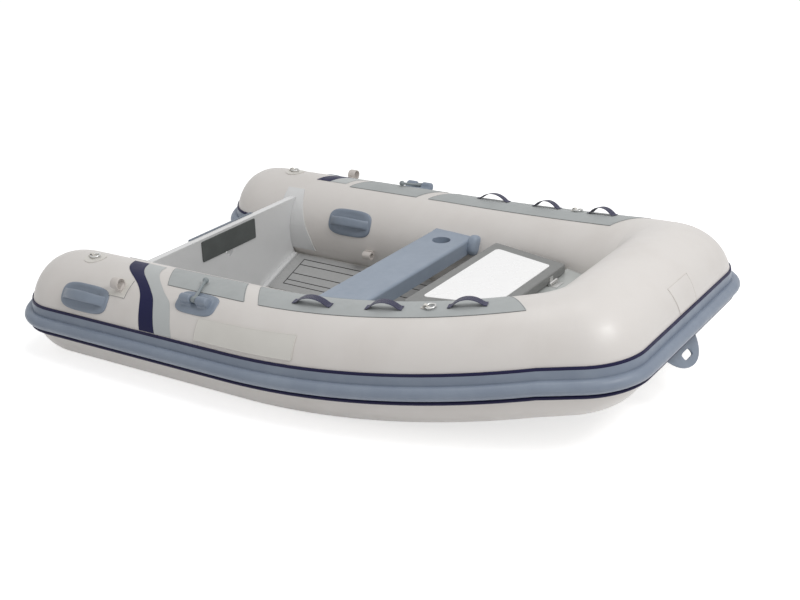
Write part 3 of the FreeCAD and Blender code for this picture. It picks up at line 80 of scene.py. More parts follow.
def tube_centre(x):
    """Centreline in plan: straight, then a circular arc of BEND_R; with it the outboard normal."""
    turn = np.arcsin(np.clip((x - BEND_X) / BEND_R, 0.0, 1.0))
    y = HALF_SPACING - BEND_R * (1.0 - np.cos(turn))
    return y, np.sin(turn), np.cos(turn)


def skin(x, angle, lift):
    """Point on the port tube: centre + (radius + lift) * (sin(angle) outboard + cos(angle) up)."""
    x, angle, lift = np.broadcast_arrays(np.asarray(x, float), angle, lift)
    y, nx, ny = tube_centre(x)
    turn = np.radians(angle)
    out = (TUBE_R + lift) * np.sin(turn)
    up = (TUBE_R + lift) * np.cos(turn)
    return np.stack([x + out * nx, y + out * ny, tube_height(x) + up], -1)


def front_x():
    """Centre of the bow tube's straight front, a radius and a pinch forward of the inboard corner."""
    turn = math.radians(BEND_DEG)
    reach = TUBE_R + CORNER_PINCH
    return BEND_X + BEND_R * math.sin(turn) - reach * math.sin(turn) + reach


def front_skin(y, angle, lift):
    """Point on the bow tube's straight front, angle counted from the crown forward."""
    y, angle, lift = np.broadcast_arrays(np.asarray(y, float), angle, lift)
    x = front_x()
    turn = np.radians(angle)
    z = tube_height(x) + (TUBE_R + lift) * np.cos(turn)
    return np.stack([x + (TUBE_R + lift) * np.sin(turn), y, z], -1)


def corner_reach(turn):
    """How far out of the inboard pivot the bow corner's outer line lies: tangent, arc, then tangent."""
    full = 2.0 * TUBE_R + CORNER_PINCH
    bend = math.radians(BEND_DEG)
    spread = (full - CORNER_ARC_R) / math.cos((math.pi / 2.0 - bend) / 2.0)
    half_way = (math.pi / 2.0 + bend) / 2.0
    along = spread * np.cos(turn - half_way)
    arc = along + np.sqrt(np.maximum(along ** 2 - spread ** 2 + CORNER_ARC_R ** 2, 0.0))
    cx, cy = spread * math.sin(half_way), spread * math.cos(half_way)
    side_touch = math.atan2(cx + CORNER_ARC_R * math.sin(bend), cy + CORNER_ARC_R * math.cos(bend))
    front_touch = math.atan2(cx + CORNER_ARC_R, cy)
    fore = np.where(turn > front_touch, full / np.sin(turn), arc)
    return np.where(turn < side_touch, full / np.cos(turn - bend), fore)


def widest_line():
    """The tubes' widest line, from the port quarter round the stern dome and the bow to starboard.

    Superellipse dome, straight side, long arc, then the corner's outer line; with it the outward way in plan.
    """
    inboard_x = np.linspace(QUARTER_X, DOME_X, 4)[:-1]
    inboard_y = np.full(3, HALF_SPACING - TUBE_R)
    inboard = np.column_stack([inboard_x, inboard_y, tube_height(inboard_x), np.zeros(3), -np.ones(3)])
    turn = np.radians(np.linspace(-90.0, 90.0, 73))
    power = 2.0 / DOME_FULLNESS
    reach, share = np.abs(np.cos(turn)) ** power, np.abs(np.sin(turn)) ** power
    across = np.sign(np.sin(turn))
    lift = DOME_RISE * (1.0 - (1.0 - np.minimum(reach, 1.0) ** DOME_FULLNESS) ** (1.0 / DOME_FULLNESS))
    power = DOME_FULLNESS - 1.0
    normal = np.stack([-reach ** power / DOME_L, across * share ** power / TUBE_R])
    normal /= np.linalg.norm(normal, axis=0)
    dome_x = DOME_X - DOME_L * reach
    dome_y = HALF_SPACING + across * TUBE_R * share
    dome = np.column_stack([dome_x, dome_y, tube_height(dome_x) + lift, *normal])
    bend_end = BEND_X + BEND_R * math.sin(math.radians(BEND_DEG))
    x = np.concatenate([np.linspace(DOME_X, BEND_X, 30)[1:], np.linspace(BEND_X, bend_end, 60)[1:]])
    y, nx, ny = tube_centre(x)
    side = np.column_stack([x + TUBE_R * nx, y + TUBE_R * ny, tube_height(x), nx, ny])
    turn = np.radians(np.linspace(BEND_DEG, 90.0, 60)[1:])
    outer = corner_reach(turn)
    pivot = np.array([x[-1] - (TUBE_R + CORNER_PINCH) * nx[-1], y[-1] - (TUBE_R + CORNER_PINCH) * ny[-1]])
    way = np.stack([np.sin(turn), np.cos(turn)], -1)
    middle = pivot[0] + (outer + CORNER_PINCH) / 2.0 * way[:, 0]
    corner = np.column_stack([pivot + outer[:, None] * way, tube_height(middle), way])
    port = np.concatenate([inboard, dome, side, corner])
    return np.concatenate([port, port[::-1] * (1.0, -1.0, 1.0, 1.0, -1.0)])


def unit(vector):
    return vector / np.linalg.norm(vector)


def skin_frame(x, angle, lift):
    """Axes and origin on the skin: rows along the tube, round it and straight out."""
    along = unit(skin(x + 0.005, angle, lift) - skin(x - 0.005, angle, lift))
    around = skin(x, angle + 5.0, lift) - skin(x, angle - 5.0, lift)
    out = unit(np.cross(along, around))
    return np.stack([along, np.cross(out, along), out]), skin(x, angle, lift)


def placed(points, place):
    """Local points carried into the boat's frame: origin + x * along + y * around + z * out."""
    axes, origin = place
    return points @ axes + origin


# Meshes

def grid(points, wrap_rows=False, wrap_cols=False):
    """Quads over a table of points; a wrapped direction joins its last line to its first."""
    rows, cols = points.shape[:2]
    row, col = np.arange(rows - (not wrap_rows)), np.arange(cols - (not wrap_cols))
    i, j = np.meshgrid(row, col, indexing="ij")
    k, m = (i + 1) % rows, (j + 1) % cols
    faces = np.stack([i * cols + j, k * cols + j, k * cols + m, i * cols + m], -1).reshape(-1, 4)
    return points.reshape(-1, 3), faces


def port_and_starboard(shells):
    return shells + [(points * (1.0, -1.0, 1.0), faces) for points, faces in shells]


def starboard(shells):
    return [(points * (1.0, -1.0, 1.0), faces) for points, faces in shells]


def build(name, shells, finish, body="boat", instead=(), crease=32.0):
    """One piece from its shells: doubles merged, faces turned outwards, smooth but for creases."""
    counts = np.cumsum([0] + [len(points) for points, _ in shells])
    points = np.concatenate([shell[0] for shell in shells])
    faces = np.concatenate([shell[1] + start for shell, start in zip(shells, counts)])
    mesh = bpy.data.meshes.new(name)
    mesh.from_pydata(points.tolist(), [], faces.tolist())
    shape = bmesh.new()
    shape.from_mesh(mesh)
    bmesh.ops.remove_doubles(shape, verts=shape.verts, dist=2e-6)
    bmesh.ops.recalc_face_normals(shape, faces=shape.faces)
    shape.to_mesh(mesh)
    shape.free()
    mesh.polygons.foreach_set("use_smooth", np.ones(len(mesh.polygons), bool))
    mesh.set_sharp_from_angle(angle=math.radians(crease))
    mesh.materials.append(finish)
    piece = bpy.data.objects.new(name, mesh)
    bpy.context.scene.collection.objects.link(piece)
    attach(piece, body)
    if instead:
        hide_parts(*instead)
    return piece


def oval(count, half_x, half_y, power):
    """Superellipse of the given power: |x / half_x| ** power + |y / half_y| ** power = 1."""
    turn = np.linspace(0.0, 2.0 * math.pi, count, endpoint=False)
    x = np.sign(np.cos(turn)) * np.abs(np.cos(turn)) ** (2.0 / power) * half_x
    y = np.sign(np.sin(turn)) * np.abs(np.sin(turn)) ** (2.0 / power) * half_y
    return x, y


def pad_on_skin(x, angle, half_l, half_w, power, reaches, heights, lift, surface=skin, count=120):
    """Moulded pad on a tube: superellipse rings at shares of its reach, each at a height; flat back."""
    ring_x, ring_y = oval(count, half_l, half_w, power)
    reach = np.array(list(reaches) + [1.0, 0.0])[:, None]
    height = np.array(list(heights) + [0.0, 0.0])[:, None]
    points = surface(x + reach * ring_x, angle + np.degrees(reach * ring_y / TUBE_R), lift + height)
    return grid(points, wrap_cols=True)


def swept(path, wide, thick, half_w, half_t, power, count=28):
    """Superellipse section carried along a path, wide and thick being its axes at each place; ends closed."""
    sec_x, sec_y = oval(count, 1.0, 1.0, power)
    half_w, half_t = np.broadcast_to(half_w, len(path)), np.broadcast_to(half_t, len(path))
    across = (half_w[:, None] * sec_x)[..., None] * wide[:, None]
    through = (half_t[:, None] * sec_y)[..., None] * thick[:, None]
    rings = path[:, None] + across + through
    first = np.repeat(path[:1, None], count, 1)
    last = np.repeat(path[-1:, None], count, 1)
    return grid(np.concatenate([first, rings, last]), wrap_cols=True)


def turned(profile, count=40):
    """Surface of revolution about local X: each (x, radius) of the profile turned a full circle."""
    x, radius = np.array(profile, float).T
    turn = np.linspace(0.0, 2.0 * math.pi, count, endpoint=False)
    y, z = radius[:, None] * np.cos(turn), radius[:, None] * np.sin(turn)
    return grid(np.stack([np.repeat(x[:, None], count, 1), y, z], -1), wrap_cols=True)


def bead(path, radius, closed=False, count=10):
    """Round bead along a path: a circle of radius in the plane square to the path's direction."""
    ahead = np.gradient(path, axis=0)
    if closed:
        ahead = np.roll(path, -1, 0) - np.roll(path, 1, 0)
    ahead /= np.linalg.norm(ahead, axis=1)[:, None]
    helper = np.where(np.abs(ahead[:, 2:]) > 0.9, (1.0, 0.0, 0.0), (0.0, 0.0, 1.0))
    first = np.cross(ahead, helper)
    first /= np.linalg.norm(first, axis=1)[:, None]
    second = np.cross(ahead, first)
    turn = np.linspace(0.0, 2.0 * math.pi, count, endpoint=False)
    circle = np.cos(turn)[:, None] * first[:, None] + np.sin(turn)[:, None] * second[:, None]
    rings = path[:, None] + radius * circle
    if closed:
        return grid(rings, wrap_rows=True, wrap_cols=True)
    first_end = np.repeat(path[:1, None], count, 1)
    last_end = np.repeat(path[-1:, None], count, 1)
    return grid(np.concatenate([first_end, rings, last_end]), wrap_cols=True)


def stitches(starts, ends, radius):
    """Short threads: each a six-sided capsule from its start to its end, fullest at its middle."""
    ahead = ends - starts
    ahead /= np.linalg.norm(ahead, axis=1)[:, None]
    side = np.cross(ahead, (0.13, 0.21, 0.97))
    side /= np.linalg.norm(side, axis=1)[:, None]
    rise = np.cross(ahead, side)
    turn = np.linspace(0.0, 2.0 * math.pi, 6, endpoint=False)
    share = np.array([0.0, 0.12, 0.5, 0.88, 1.0])
    full = np.array([0.0, 0.8, 1.0, 0.8, 0.0]) * radius
    ring = np.cos(turn)[:, None] * side[:, None, None] + np.sin(turn)[:, None] * rise[:, None, None]
    spine = starts[:, None] + (ends - starts)[:, None] * share[:, None]
    points = spine[:, :, None] + full[:, None, None] * ring
    _, faces = grid(points[0], wrap_cols=True)
    offsets = np.arange(len(starts)) * (len(share) * len(turn))
    return points.reshape(-1, 3), (faces[None] + offsets[:, None, None]).reshape(-1, 4)


# Finishes

class Finish:
    """A material under construction: one shader with procedural colour, roughness and relief."""

    def __init__(self, name, colour, roughness, metallic=0.0, coat=0.0, coat_roughness=0.1, sheen=0.0):
        self.material = bpy.data.materials.new(name)
        self.material.use_nodes = True
        self.tree = self.material.node_tree
        self.shader = self.tree.nodes["Principled BSDF"]
        self.set("Base Color", colour)
        self.set("Roughness", roughness)
        self.set("Metallic", metallic)
        self.set("Coat Weight", coat)
        self.set("Coat Roughness", coat_roughness)
        self.set("Sheen Weight", sheen)
        self.colour = colour
        self.coords = self.add("ShaderNodeTexCoord").outputs["Object"]
        self.relief = None

    def add(self, kind, **settings):
        node = self.tree.nodes.new(kind)
        for key, value in settings.items():
            setattr(node, key, value)
        return node

    def set(self, socket, value):
        self.shader.inputs[socket].default_value = value

    def link(self, source, target):
        self.tree.links.new(source, target)

    def stretched(self, scale):
        """Object coordinates scaled by a different share each way."""
        mapping = self.add("ShaderNodeMapping")
        mapping.inputs["Scale"].default_value = scale
        self.link(self.coords, mapping.inputs["Vector"])
        return mapping.outputs["Vector"]

    def noise(self, scale, detail=3.0, stretch=(1.0, 1.0, 1.0)):
        node = self.add("ShaderNodeTexNoise")
        node.inputs["Scale"].default_value = scale
        node.inputs["Detail"].default_value = detail
        self.link(self.stretched(stretch), node.inputs["Vector"])
        return node.outputs["Fac"]

    def cells(self, scale, feature="F1"):
        node = self.add("ShaderNodeTexVoronoi", feature=feature)
        node.inputs["Scale"].default_value = scale
        self.link(self.coords, node.inputs["Vector"])
        return node.outputs["Distance"]

    def ribs(self, direction, scale):
        node = self.add("ShaderNodeTexWave", bands_direction=direction)
        node.inputs["Scale"].default_value = scale
        self.link(self.coords, node.inputs["Vector"])
        return node.outputs["Fac"]

    def tint(self, source, low, high, darker):
        """Mixes a second colour in where the source rises from low to high."""
        spread = self.add("ShaderNodeMapRange")
        spread.inputs["From Min"].default_value = low
        spread.inputs["From Max"].default_value = high
        self.link(source, spread.inputs["Value"])
        mix = self.add("ShaderNodeMix", data_type="RGBA")
        self.link(spread.outputs["Result"], mix.inputs["Factor"])
        colour_in = self.shader.inputs["Base Color"]
        if colour_in.is_linked:
            self.link(colour_in.links[0].from_socket, mix.inputs["A"])
        else:
            mix.inputs["A"].default_value = self.colour
        mix.inputs["B"].default_value = darker
        self.link(mix.outputs["Result"], colour_in)
        return self

    def gloss(self, source, low, high):
        """Roughness that runs from low to high with the source."""
        spread = self.add("ShaderNodeMapRange")
        spread.inputs["From Min"].default_value = 0.3
        spread.inputs["From Max"].default_value = 0.7
        spread.inputs["To Min"].default_value = low
        spread.inputs["To Max"].default_value = high
        self.link(source, spread.inputs["Value"])
        self.link(spread.outputs["Result"], self.shader.inputs["Roughness"])
        return self

    def bump(self, source, height, strength=1.0):
        """Relief of the given height in metres, on top of any before it."""
        node = self.add("ShaderNodeBump")
        node.inputs["Distance"].default_value = height
        node.inputs["Strength"].default_value = strength
        self.link(source, node.inputs["Height"])
        if self.relief:
            self.link(self.relief, node.inputs["Normal"])
        self.relief = node.outputs["Normal"]
        self.link(self.relief, self.shader.inputs["Normal"])
        return self


def coated_fabric(name, colour, dusty, shine=0.5):
    """Heat-welded tube cloth: soft satin, faint mottling, fine weave and shallow waves of stretched cloth."""
    cloth = Finish(name, colour, 0.42, coat=0.24 * shine, coat_roughness=0.28, sheen=0.1 * shine)
    cloth.set("Specular IOR Level", shine)
    cloth.tint(cloth.noise(5.0, 4.0), 0.42, 0.75, dusty)
    cloth.gloss(cloth.noise(26.0, 3.0), 0.36, 0.48)
    cloth.bump(cloth.noise(9.0, 2.0), 0.0009, 0.35)
    cloth.bump(cloth.noise(1400.0, 1.0), 0.00012, 0.5)
    return cloth.material


def moulded(name, colour, worn, roughness=0.45, shine=0.5):
    """Moulded rubber or plastic: fine orange-peel relief, slightly paler where it is rubbed."""
    rubber = Finish(name, colour, roughness, coat=0.12 * shine, coat_roughness=0.35)
    rubber.set("Specular IOR Level", shine)
    rubber.tint(rubber.noise(11.0, 4.0), 0.45, 0.8, worn)
    rubber.gloss(rubber.noise(40.0, 3.0), roughness - 0.05, roughness + 0.07)
    rubber.bump(rubber.noise(620.0, 2.0), 0.00018, 0.55)
    return rubber.material


def painted(name, colour, scuffed, roughness, coat):
    """Powder coat on welded plate: faint ripple and a little scuffing."""
    paint = Finish(name, colour, roughness, coat=coat, coat_roughness=0.06)
    paint.tint(paint.noise(8.0, 5.0), 0.5, 0.85, scuffed)
    paint.gloss(paint.noise(18.0, 3.0), roughness - 0.04, roughness + 0.06)
    paint.bump(paint.noise(300.0, 2.0), 0.00008, 0.4)
    return paint.material


def non_slip(name, colour, dusty):
    """Thin moulded patch with a close pimpled face."""
    patch = Finish(name, colour, 0.62)
    patch.tint(patch.noise(14.0, 4.0), 0.45, 0.8, dusty)
    patch.gloss(patch.noise(60.0, 2.0), 0.55, 0.7)
    patch.bump(patch.cells(420.0), 0.0003, 0.6)
    return patch.material


def foam_deck(name, colour, streak):
    """Brushed closed-cell foam: long fine streaks along the boat."""
    foam = Finish(name, colour, 0.72)
    brushed = foam.noise(60.0, 4.0, (1.0, 14.0, 14.0))
    foam.tint(brushed, 0.4, 0.7, streak)
    foam.gloss(brushed, 0.66, 0.8)
    foam.bump(brushed, 0.0004, 0.6)
    return foam.material


def webbing(name, colour, light):
    """Woven strap: ribs across it, finer threads along it."""
    band = Finish(name, colour, 0.66, sheen=0.25)
    band.tint(band.noise(900.0, 2.0), 0.45, 0.7, light)
    band.bump(band.ribs("X", 260.0), 0.0004, 0.7)
    band.bump(band.ribs("Y", 420.0), 0.0002, 0.5)
    return band.material


def steel(name, colour, roughness):
    """Polished stainless with fine drawn lines."""
    metal = Finish(name, colour, roughness, metallic=1.0)
    drawn = metal.noise(300.0, 3.0, (1.0, 8.0, 8.0))
    metal.gloss(drawn, roughness - 0.04, roughness + 0.1)
    metal.bump(drawn, 0.00005, 0.4)
    return metal.material


TUBE_CLOTH = coated_fabric("tube_cloth", srgb(0.860, 0.843, 0.828), srgb(0.838, 0.818, 0.800))
PLATE_CLOTH = coated_fabric("plate_cloth", srgb(0.845, 0.835, 0.812), srgb(0.820, 0.808, 0.785))
PATCH_CLOTH = coated_fabric("patch_cloth", srgb(0.858, 0.845, 0.820), srgb(0.835, 0.820, 0.795))
STRAKE_RUBBER = moulded("strake_rubber", srgb(0.505, 0.545, 0.607), srgb(0.545, 0.585, 0.642), 0.40, 0.35)
NAVY_RUBBER = moulded("navy_rubber", srgb(0.125, 0.120, 0.245), srgb(0.150, 0.145, 0.270), 0.5, 0.15)
NAVY_CLOTH = coated_fabric("navy_cloth", srgb(0.110, 0.115, 0.260), srgb(0.130, 0.135, 0.285), 0.12)
GREY_CLOTH = coated_fabric("grey_cloth", srgb(0.720, 0.735, 0.735), srgb(0.700, 0.712, 0.712))
HULL_PAINT = painted("hull_paint", srgb(0.800, 0.795, 0.780), srgb(0.775, 0.768, 0.752), 0.35, 0.15)
WELL_PAINT = painted("well_paint", srgb(0.862, 0.864, 0.864), srgb(0.840, 0.842, 0.842), 0.20, 0.6)
LOCKER_PAINT = painted("locker_paint", srgb(0.700, 0.712, 0.705), srgb(0.675, 0.686, 0.680), 0.35, 0.2)
LID_PAINT = painted("lid_paint", srgb(0.470, 0.474, 0.470), srgb(0.448, 0.452, 0.448), 0.42, 0.1)
PANEL_PAINT = painted("panel_paint", srgb(0.985, 0.985, 0.985), srgb(0.975, 0.975, 0.975), 0.25, 0.3)
SOLE_FOAM = foam_deck("sole_foam", srgb(0.680, 0.680, 0.678), srgb(0.630, 0.632, 0.630))
CAULKING = moulded("caulking", srgb(0.075, 0.078, 0.085), srgb(0.110, 0.112, 0.120), 0.55)
INNER_PAD_PLASTIC = moulded("inner_pad_plastic", srgb(0.310, 0.325, 0.320), srgb(0.345, 0.360, 0.355), 0.55)
OUTER_PAD_PLASTIC = moulded("outer_pad_plastic", srgb(0.430, 0.465, 0.515), srgb(0.470, 0.505, 0.555), 0.5)
SEAT_PLASTIC = moulded("seat_plastic", srgb(0.555, 0.600, 0.660), srgb(0.580, 0.625, 0.685), 0.46)
HANDLE_RUBBER = moulded("handle_rubber", srgb(0.490, 0.532, 0.590), srgb(0.530, 0.572, 0.630), 0.42)
LOOP_RUBBER = moulded("loop_rubber", srgb(0.800, 0.775, 0.755), srgb(0.770, 0.745, 0.725), 0.5)
WEAR_FACE = non_slip("wear_face", srgb(0.675, 0.690, 0.690), srgb(0.650, 0.665, 0.665))
# Dark grey bead colour: partly the sealant's own colour, partly painted shade along the edges of the bonded
# sheets
EDGE_SEALANT_AND_SHADE = moulded("edge_sealant_and_shade", srgb(0.420, 0.432, 0.432), srgb(0.460, 0.472, 0.472), 0.5)
STRAP_WEBBING = webbing("strap_webbing", srgb(0.150, 0.150, 0.270), srgb(0.185, 0.185, 0.310))
STRAP_THREAD = webbing("strap_thread", srgb(0.300, 0.300, 0.440), srgb(0.350, 0.350, 0.500))
PIN_ALLOY = moulded("pin_alloy", srgb(0.520, 0.550, 0.560), srgb(0.570, 0.600, 0.610), 0.4)
RING_STEEL = steel("ring_steel", srgb(0.780, 0.780, 0.775), 0.2)
HINGE_STEEL = steel("hinge_steel", srgb(0.860, 0.860, 0.855), 0.28)

# The finish of a node is the one under the longest key that its name starts with

NODE_FINISHES = {
    "tube_": TUBE_CLOTH, "strake_trim": NAVY_RUBBER, "strake_": STRAKE_RUBBER, "hull": HULL_PAINT,
    "keel_and_spray_rails": HULL_PAINT, "sole_pad_": SOLE_FOAM, "sole": LOCKER_PAINT,
    "floor_sills": WELL_PAINT, "transom": WELL_PAINT, "engine_pad_inner": INNER_PAD_PLASTIC,
    "engine_pad_outer": OUTER_PAD_PLASTIC, "locker_box": LOCKER_PAINT, "locker_lid_panel": PANEL_PAINT,
    "locker_lid": LID_PAINT, "bow_deck": LOCKER_PAINT, "lid_hinge": HINGE_STEEL,
    "seat_end_brackets": HANDLE_RUBBER, "seat": SEAT_PLASTIC, "grip_": HANDLE_RUBBER,
    "ring_patches": PATCH_CLOTH, "lifting_rings": RING_STEEL, "paddle_patches": PATCH_CLOTH,
    "paddle_loops": LOOP_RUBBER, "paddle_clips": LOOP_RUBBER, "rowlock_": HANDLE_RUBBER,
    "wear_patches": WEAR_FACE, "grab_straps": STRAP_WEBBING, "stripes_grey": GREY_CLOTH,
    "stripes_navy": NAVY_CLOTH, "name_plates": PLATE_CLOTH, "bow_patch": PATCH_CLOTH,
    "tow_handle": HANDLE_RUBBER,
}

for node_name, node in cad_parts.items():
    prefix = max((key for key in NODE_FINISHES if node_name.startswith(key)), key=len)
    for material_slot in node.material_slots:
        material_slot.material = NODE_FINISHES[prefix]

# Grab straps: webbing arched over the wear patches, sewn down at both feet

STRAP_SPANS = ((-0.013, 0.139), (0.263, 0.398), (0.542, 0.678))
STRAP_ANGLES = (7.5, 6.4, 4.3)
STRAP_HALF_W = 0.015
STRAP_HALF_T = 0.0013
STRAP_RISE = 0.028
STRAP_FOOT = 0.010
STRAP_LIFT = 0.0031
STRAP_DROP = 0.0025
STRAP_EASE = 0.0045
STITCH_INNER, STITCH_OUTER, STITCH_EDGE = 0.001, 0.002, 0.003
STITCH_PITCH, STITCH_GAP_SHARE, STITCH_R = 0.0034, 0.08, 0.0004


def strap_height(along, half):
    """Circular arch between the feet, eased in: half of (arch + root of (arch squared + ease squared))."""
    reach = half - STRAP_FOOT
    radius = (reach ** 2 + STRAP_RISE ** 2) / (2.0 * STRAP_RISE)
    arch = STRAP_RISE - STRAP_DROP - radius + np.sqrt(np.maximum(radius ** 2 - along ** 2, 0.0))
    return 0.5 * (arch + np.sqrt(arch ** 2 + STRAP_EASE ** 2)) + STRAP_HALF_T


def strap(span, angle):
    """Flat webbing section carried along the arch."""
    half = (span[1] - span[0]) / 2.0
    along = np.linspace(-half, half, 72)
    path = np.stack([along, np.zeros_like(along), strap_height(along, half)], -1)
    ahead = np.gradient(path, axis=0)
    ahead /= np.linalg.norm(ahead, axis=1)[:, None]
    wide = np.tile((0.0, 1.0, 0.0), (len(path), 1))
    thick = np.cross(ahead, wide)
    points, faces = swept(path, wide, thick, STRAP_HALF_W, STRAP_HALF_T, 5.0, 24)
    return placed(points, skin_frame(sum(span) / 2.0, angle, STRAP_LIFT)), faces


def strap_stitching(span, angle):
    """A sewn box with one diagonal across it on each foot: straight runs divided into even stitches."""
    half = (span[1] - span[0]) / 2.0
    shells = []
    place = skin_frame(sum(span) / 2.0, angle, STRAP_LIFT)
    for side in (-1.0, 1.0):
        inner, outer = side * (half - STRAP_FOOT + STITCH_INNER), side * (half - STITCH_OUTER)
        edge = STRAP_HALF_W - STITCH_EDGE
        box = [(inner, -edge), (outer, -edge), (outer, edge), (inner, edge)]
        corners = np.array(box + [(inner, -edge), (outer, edge)])
        for a, b in zip(corners[:-1], corners[1:]):
            count = int(np.linalg.norm(b - a) / STITCH_PITCH)
            shares = np.linspace(0.0, 1.0, count + 1)
            flat = a + (b - a) * shares[:, None]
            height = strap_height(flat[:, 0], half) + STRAP_HALF_T
            run = np.column_stack([flat, height])
            gap = (run[1:] - run[:-1]) * STITCH_GAP_SHARE
            points, faces = stitches(run[:-1] + gap, run[1:] - gap, STITCH_R)
            shells.append((placed(points, place), faces))
    return shells


straps = [strap(*place) for place in zip(STRAP_SPANS, STRAP_ANGLES)]
build("grab_straps_webbing", port_and_starboard(straps), STRAP_WEBBING, instead=("grab_straps",))
sewn = [shell for place in zip(STRAP_SPANS, STRAP_ANGLES) for shell in strap_stitching(*place)]
build("grab_straps_stitching", port_and_starboard(sewn), STRAP_THREAD)

# Hand grips: oval pad, shallow well under the bar and a leaf-shaped bar arched over it

GRIP_PLACES = {"grip_outer": (-0.890, 56.7, 0.118, 0.0539), "grip_inner": (-0.540, -66.6, 0.1105, 0.0593)}
GRIP_POWER = 3.4
GRIP_REACHES = (0.0, 0.3, 0.5, 0.62, 0.7, 0.76, 0.82, 0.88, 0.93, 0.965, 0.985, 0.996, 1.0)
GRIP_HEIGHTS = (0.0022, 0.0022, 0.0024, 0.003, 0.0042, 0.0054, 0.0062, 0.0064, 0.006, 0.005, 0.0036, 0.0018,
                0.0004)
GRIP_RISE = 0.0365
GRIP_RISE_POWER = 2.6
GRIP_END = 0.016
GRIP_BAR_LIFT = 0.001
GRIP_BAR_HALF_W, GRIP_BAR_MIDDLE_W, GRIP_BAR_END_W = 0.0165, 0.0035, 0.006
GRIP_BAR_HALF_T, GRIP_BAR_THINNING, GRIP_BAR_END_T = 0.0062, 0.001, 0.002
GRIP_BAR_POWER = 2.7


def grip_bar(x, angle, half_l):
    """Bar whose middle line rises as one minus a power of the share along it, flared at both ends."""
    share = np.linspace(-1.0, 1.0, 65)
    half = half_l - GRIP_END
    height = GRIP_RISE * (1.0 - np.abs(share) ** GRIP_RISE_POWER) + GRIP_BAR_LIFT
    path = np.stack([share * half, np.zeros_like(share), height], -1)
    ahead = np.gradient(path, axis=0)
    ahead /= np.linalg.norm(ahead, axis=1)[:, None]
    wide = np.tile((0.0, 1.0, 0.0), (len(path), 1))
    half_w = GRIP_BAR_HALF_W + GRIP_BAR_MIDDLE_W * (1.0 - share ** 2) + GRIP_BAR_END_W * share ** 8
    half_t = GRIP_BAR_HALF_T - GRIP_BAR_THINNING * share ** 2 + GRIP_BAR_END_T * share ** 8
    points, faces = swept(path, wide, np.cross(ahead, wide), half_w, half_t, GRIP_BAR_POWER, 32)
    return placed(points, skin_frame(x, angle, SKIN_GAP)), faces


for grip_name, (x, angle, half_l, half_w) in GRIP_PLACES.items():
    grip_pad = pad_on_skin(x, angle, half_l, half_w, GRIP_POWER, GRIP_REACHES, GRIP_HEIGHTS, SKIN_GAP)
    grip_shells = [grip_pad, grip_bar(x, angle, half_l)]
    build(grip_name + "_moulding_port", grip_shells, HANDLE_RUBBER, instead=(grip_name + "_port",),
          crease=50.0)
    build(grip_name + "_moulding_starboard", starboard(grip_shells), HANDLE_RUBBER,
          instead=(grip_name + "_starboard",), crease=50.0)

# Rowlocks: stepped pad and two bored barrels on flared saddles, the pin's hub between them

ROWLOCK_X, ROWLOCK_DEG = -0.375, 35.3
ROWLOCK_HALF_L, ROWLOCK_HALF_W, ROWLOCK_POWER = 0.091, 0.046, 3.6
BARREL_R = 0.017
BARREL_CLEAR = 0.005
BARREL_AXIS = SKIN_GAP + BARREL_CLEAR + BARREL_R
BARREL_L = 0.054
BARREL_GAP = 0.022
BARREL_SPREAD_DEG = 118.0
SADDLE_START, SADDLE_SHARE = 0.72, 0.28
SADDLE_HALF_W, SADDLE_FLARE = 0.0145, 0.0095
SADDLE_TOP, SADDLE_DROP, SADDLE_LOW = 0.008, 0.0115, -0.0195
PIN_DROP_DEG, PIN_YAW_DEG = 17.0, 15.0
ROWLOCK_REACHES = (0.0, 0.4, 0.66, 0.72, 0.76, 0.8, 0.86, 0.92, 0.955, 0.98, 0.994, 1.0)
ROWLOCK_HEIGHTS = (0.0068, 0.0068, 0.0066, 0.006, 0.005, 0.0044, 0.0042, 0.004, 0.0034, 0.0024, 0.0012,
                   0.0004)


def barrel(side):
    """Barrel with its saddle: a round top that flares to the pad, scaled down to closed rounded ends."""
    turn = np.linspace(-1.0, 1.0, 41)
    around = np.radians(BARREL_SPREAD_DEG) * turn
    foot = np.clip((np.abs(turn) - SADDLE_START) / SADDLE_SHARE, 0.0, 1.0)
    saddle = np.sign(turn) * (SADDLE_HALF_W + SADDLE_FLARE * foot ** 2) * foot
    y = BARREL_R * np.sin(around) * (1.0 - foot) + saddle
    z = BARREL_R * np.cos(around) * (1.0 - foot) - (SADDLE_TOP + SADDLE_DROP * foot) * foot
    share = np.linspace(-1.0, 1.0, 33)
    shrink = (1.0 - np.abs(share) ** 9) ** (1.0 / 3.0)
    mid = side * (BARREL_GAP + BARREL_L) / 2.0
    x = mid + share * BARREL_L / 2.0
    level = SADDLE_LOW + (z - SADDLE_LOW) * shrink[:, None]
    rings = np.stack([np.repeat(x[:, None], len(turn), 1), shrink[:, None] * y, level], -1)
    return grid(rings, wrap_cols=True)


def rowlock_shells():
    """Pad on the port tube with a barrel on each side of the pin's hub."""
    pad = pad_on_skin(ROWLOCK_X, ROWLOCK_DEG, ROWLOCK_HALF_L, ROWLOCK_HALF_W, ROWLOCK_POWER, ROWLOCK_REACHES,
                      ROWLOCK_HEIGHTS, SKIN_GAP)
    place = skin_frame(ROWLOCK_X, ROWLOCK_DEG, BARREL_AXIS)
    shells = [pad]
    for side in (-1.0, 1.0):
        points, faces = barrel(side)
        shells.append((placed(points, place), faces))
    return shells


PIN_HUB = ((-0.0101, 0.0), (-0.0101, 0.0065), (-0.0095, 0.0098), (-0.008, 0.0108), (0.008, 0.0108),
           (0.0095, 0.0098), (0.0101, 0.0065), (0.0101, 0.0))
PIN_SHAFT = ((0.0, 0.0), (0.0, 0.0085), (0.014, 0.0078), (0.024, 0.0064), (0.092, 0.0056), (0.1, 0.0056),
             (0.1022, 0.0075), (0.1055, 0.0101), (0.11, 0.0118), (0.1145, 0.0112), (0.119, 0.0088),
             (0.122, 0.0055), (0.123, 0.0))


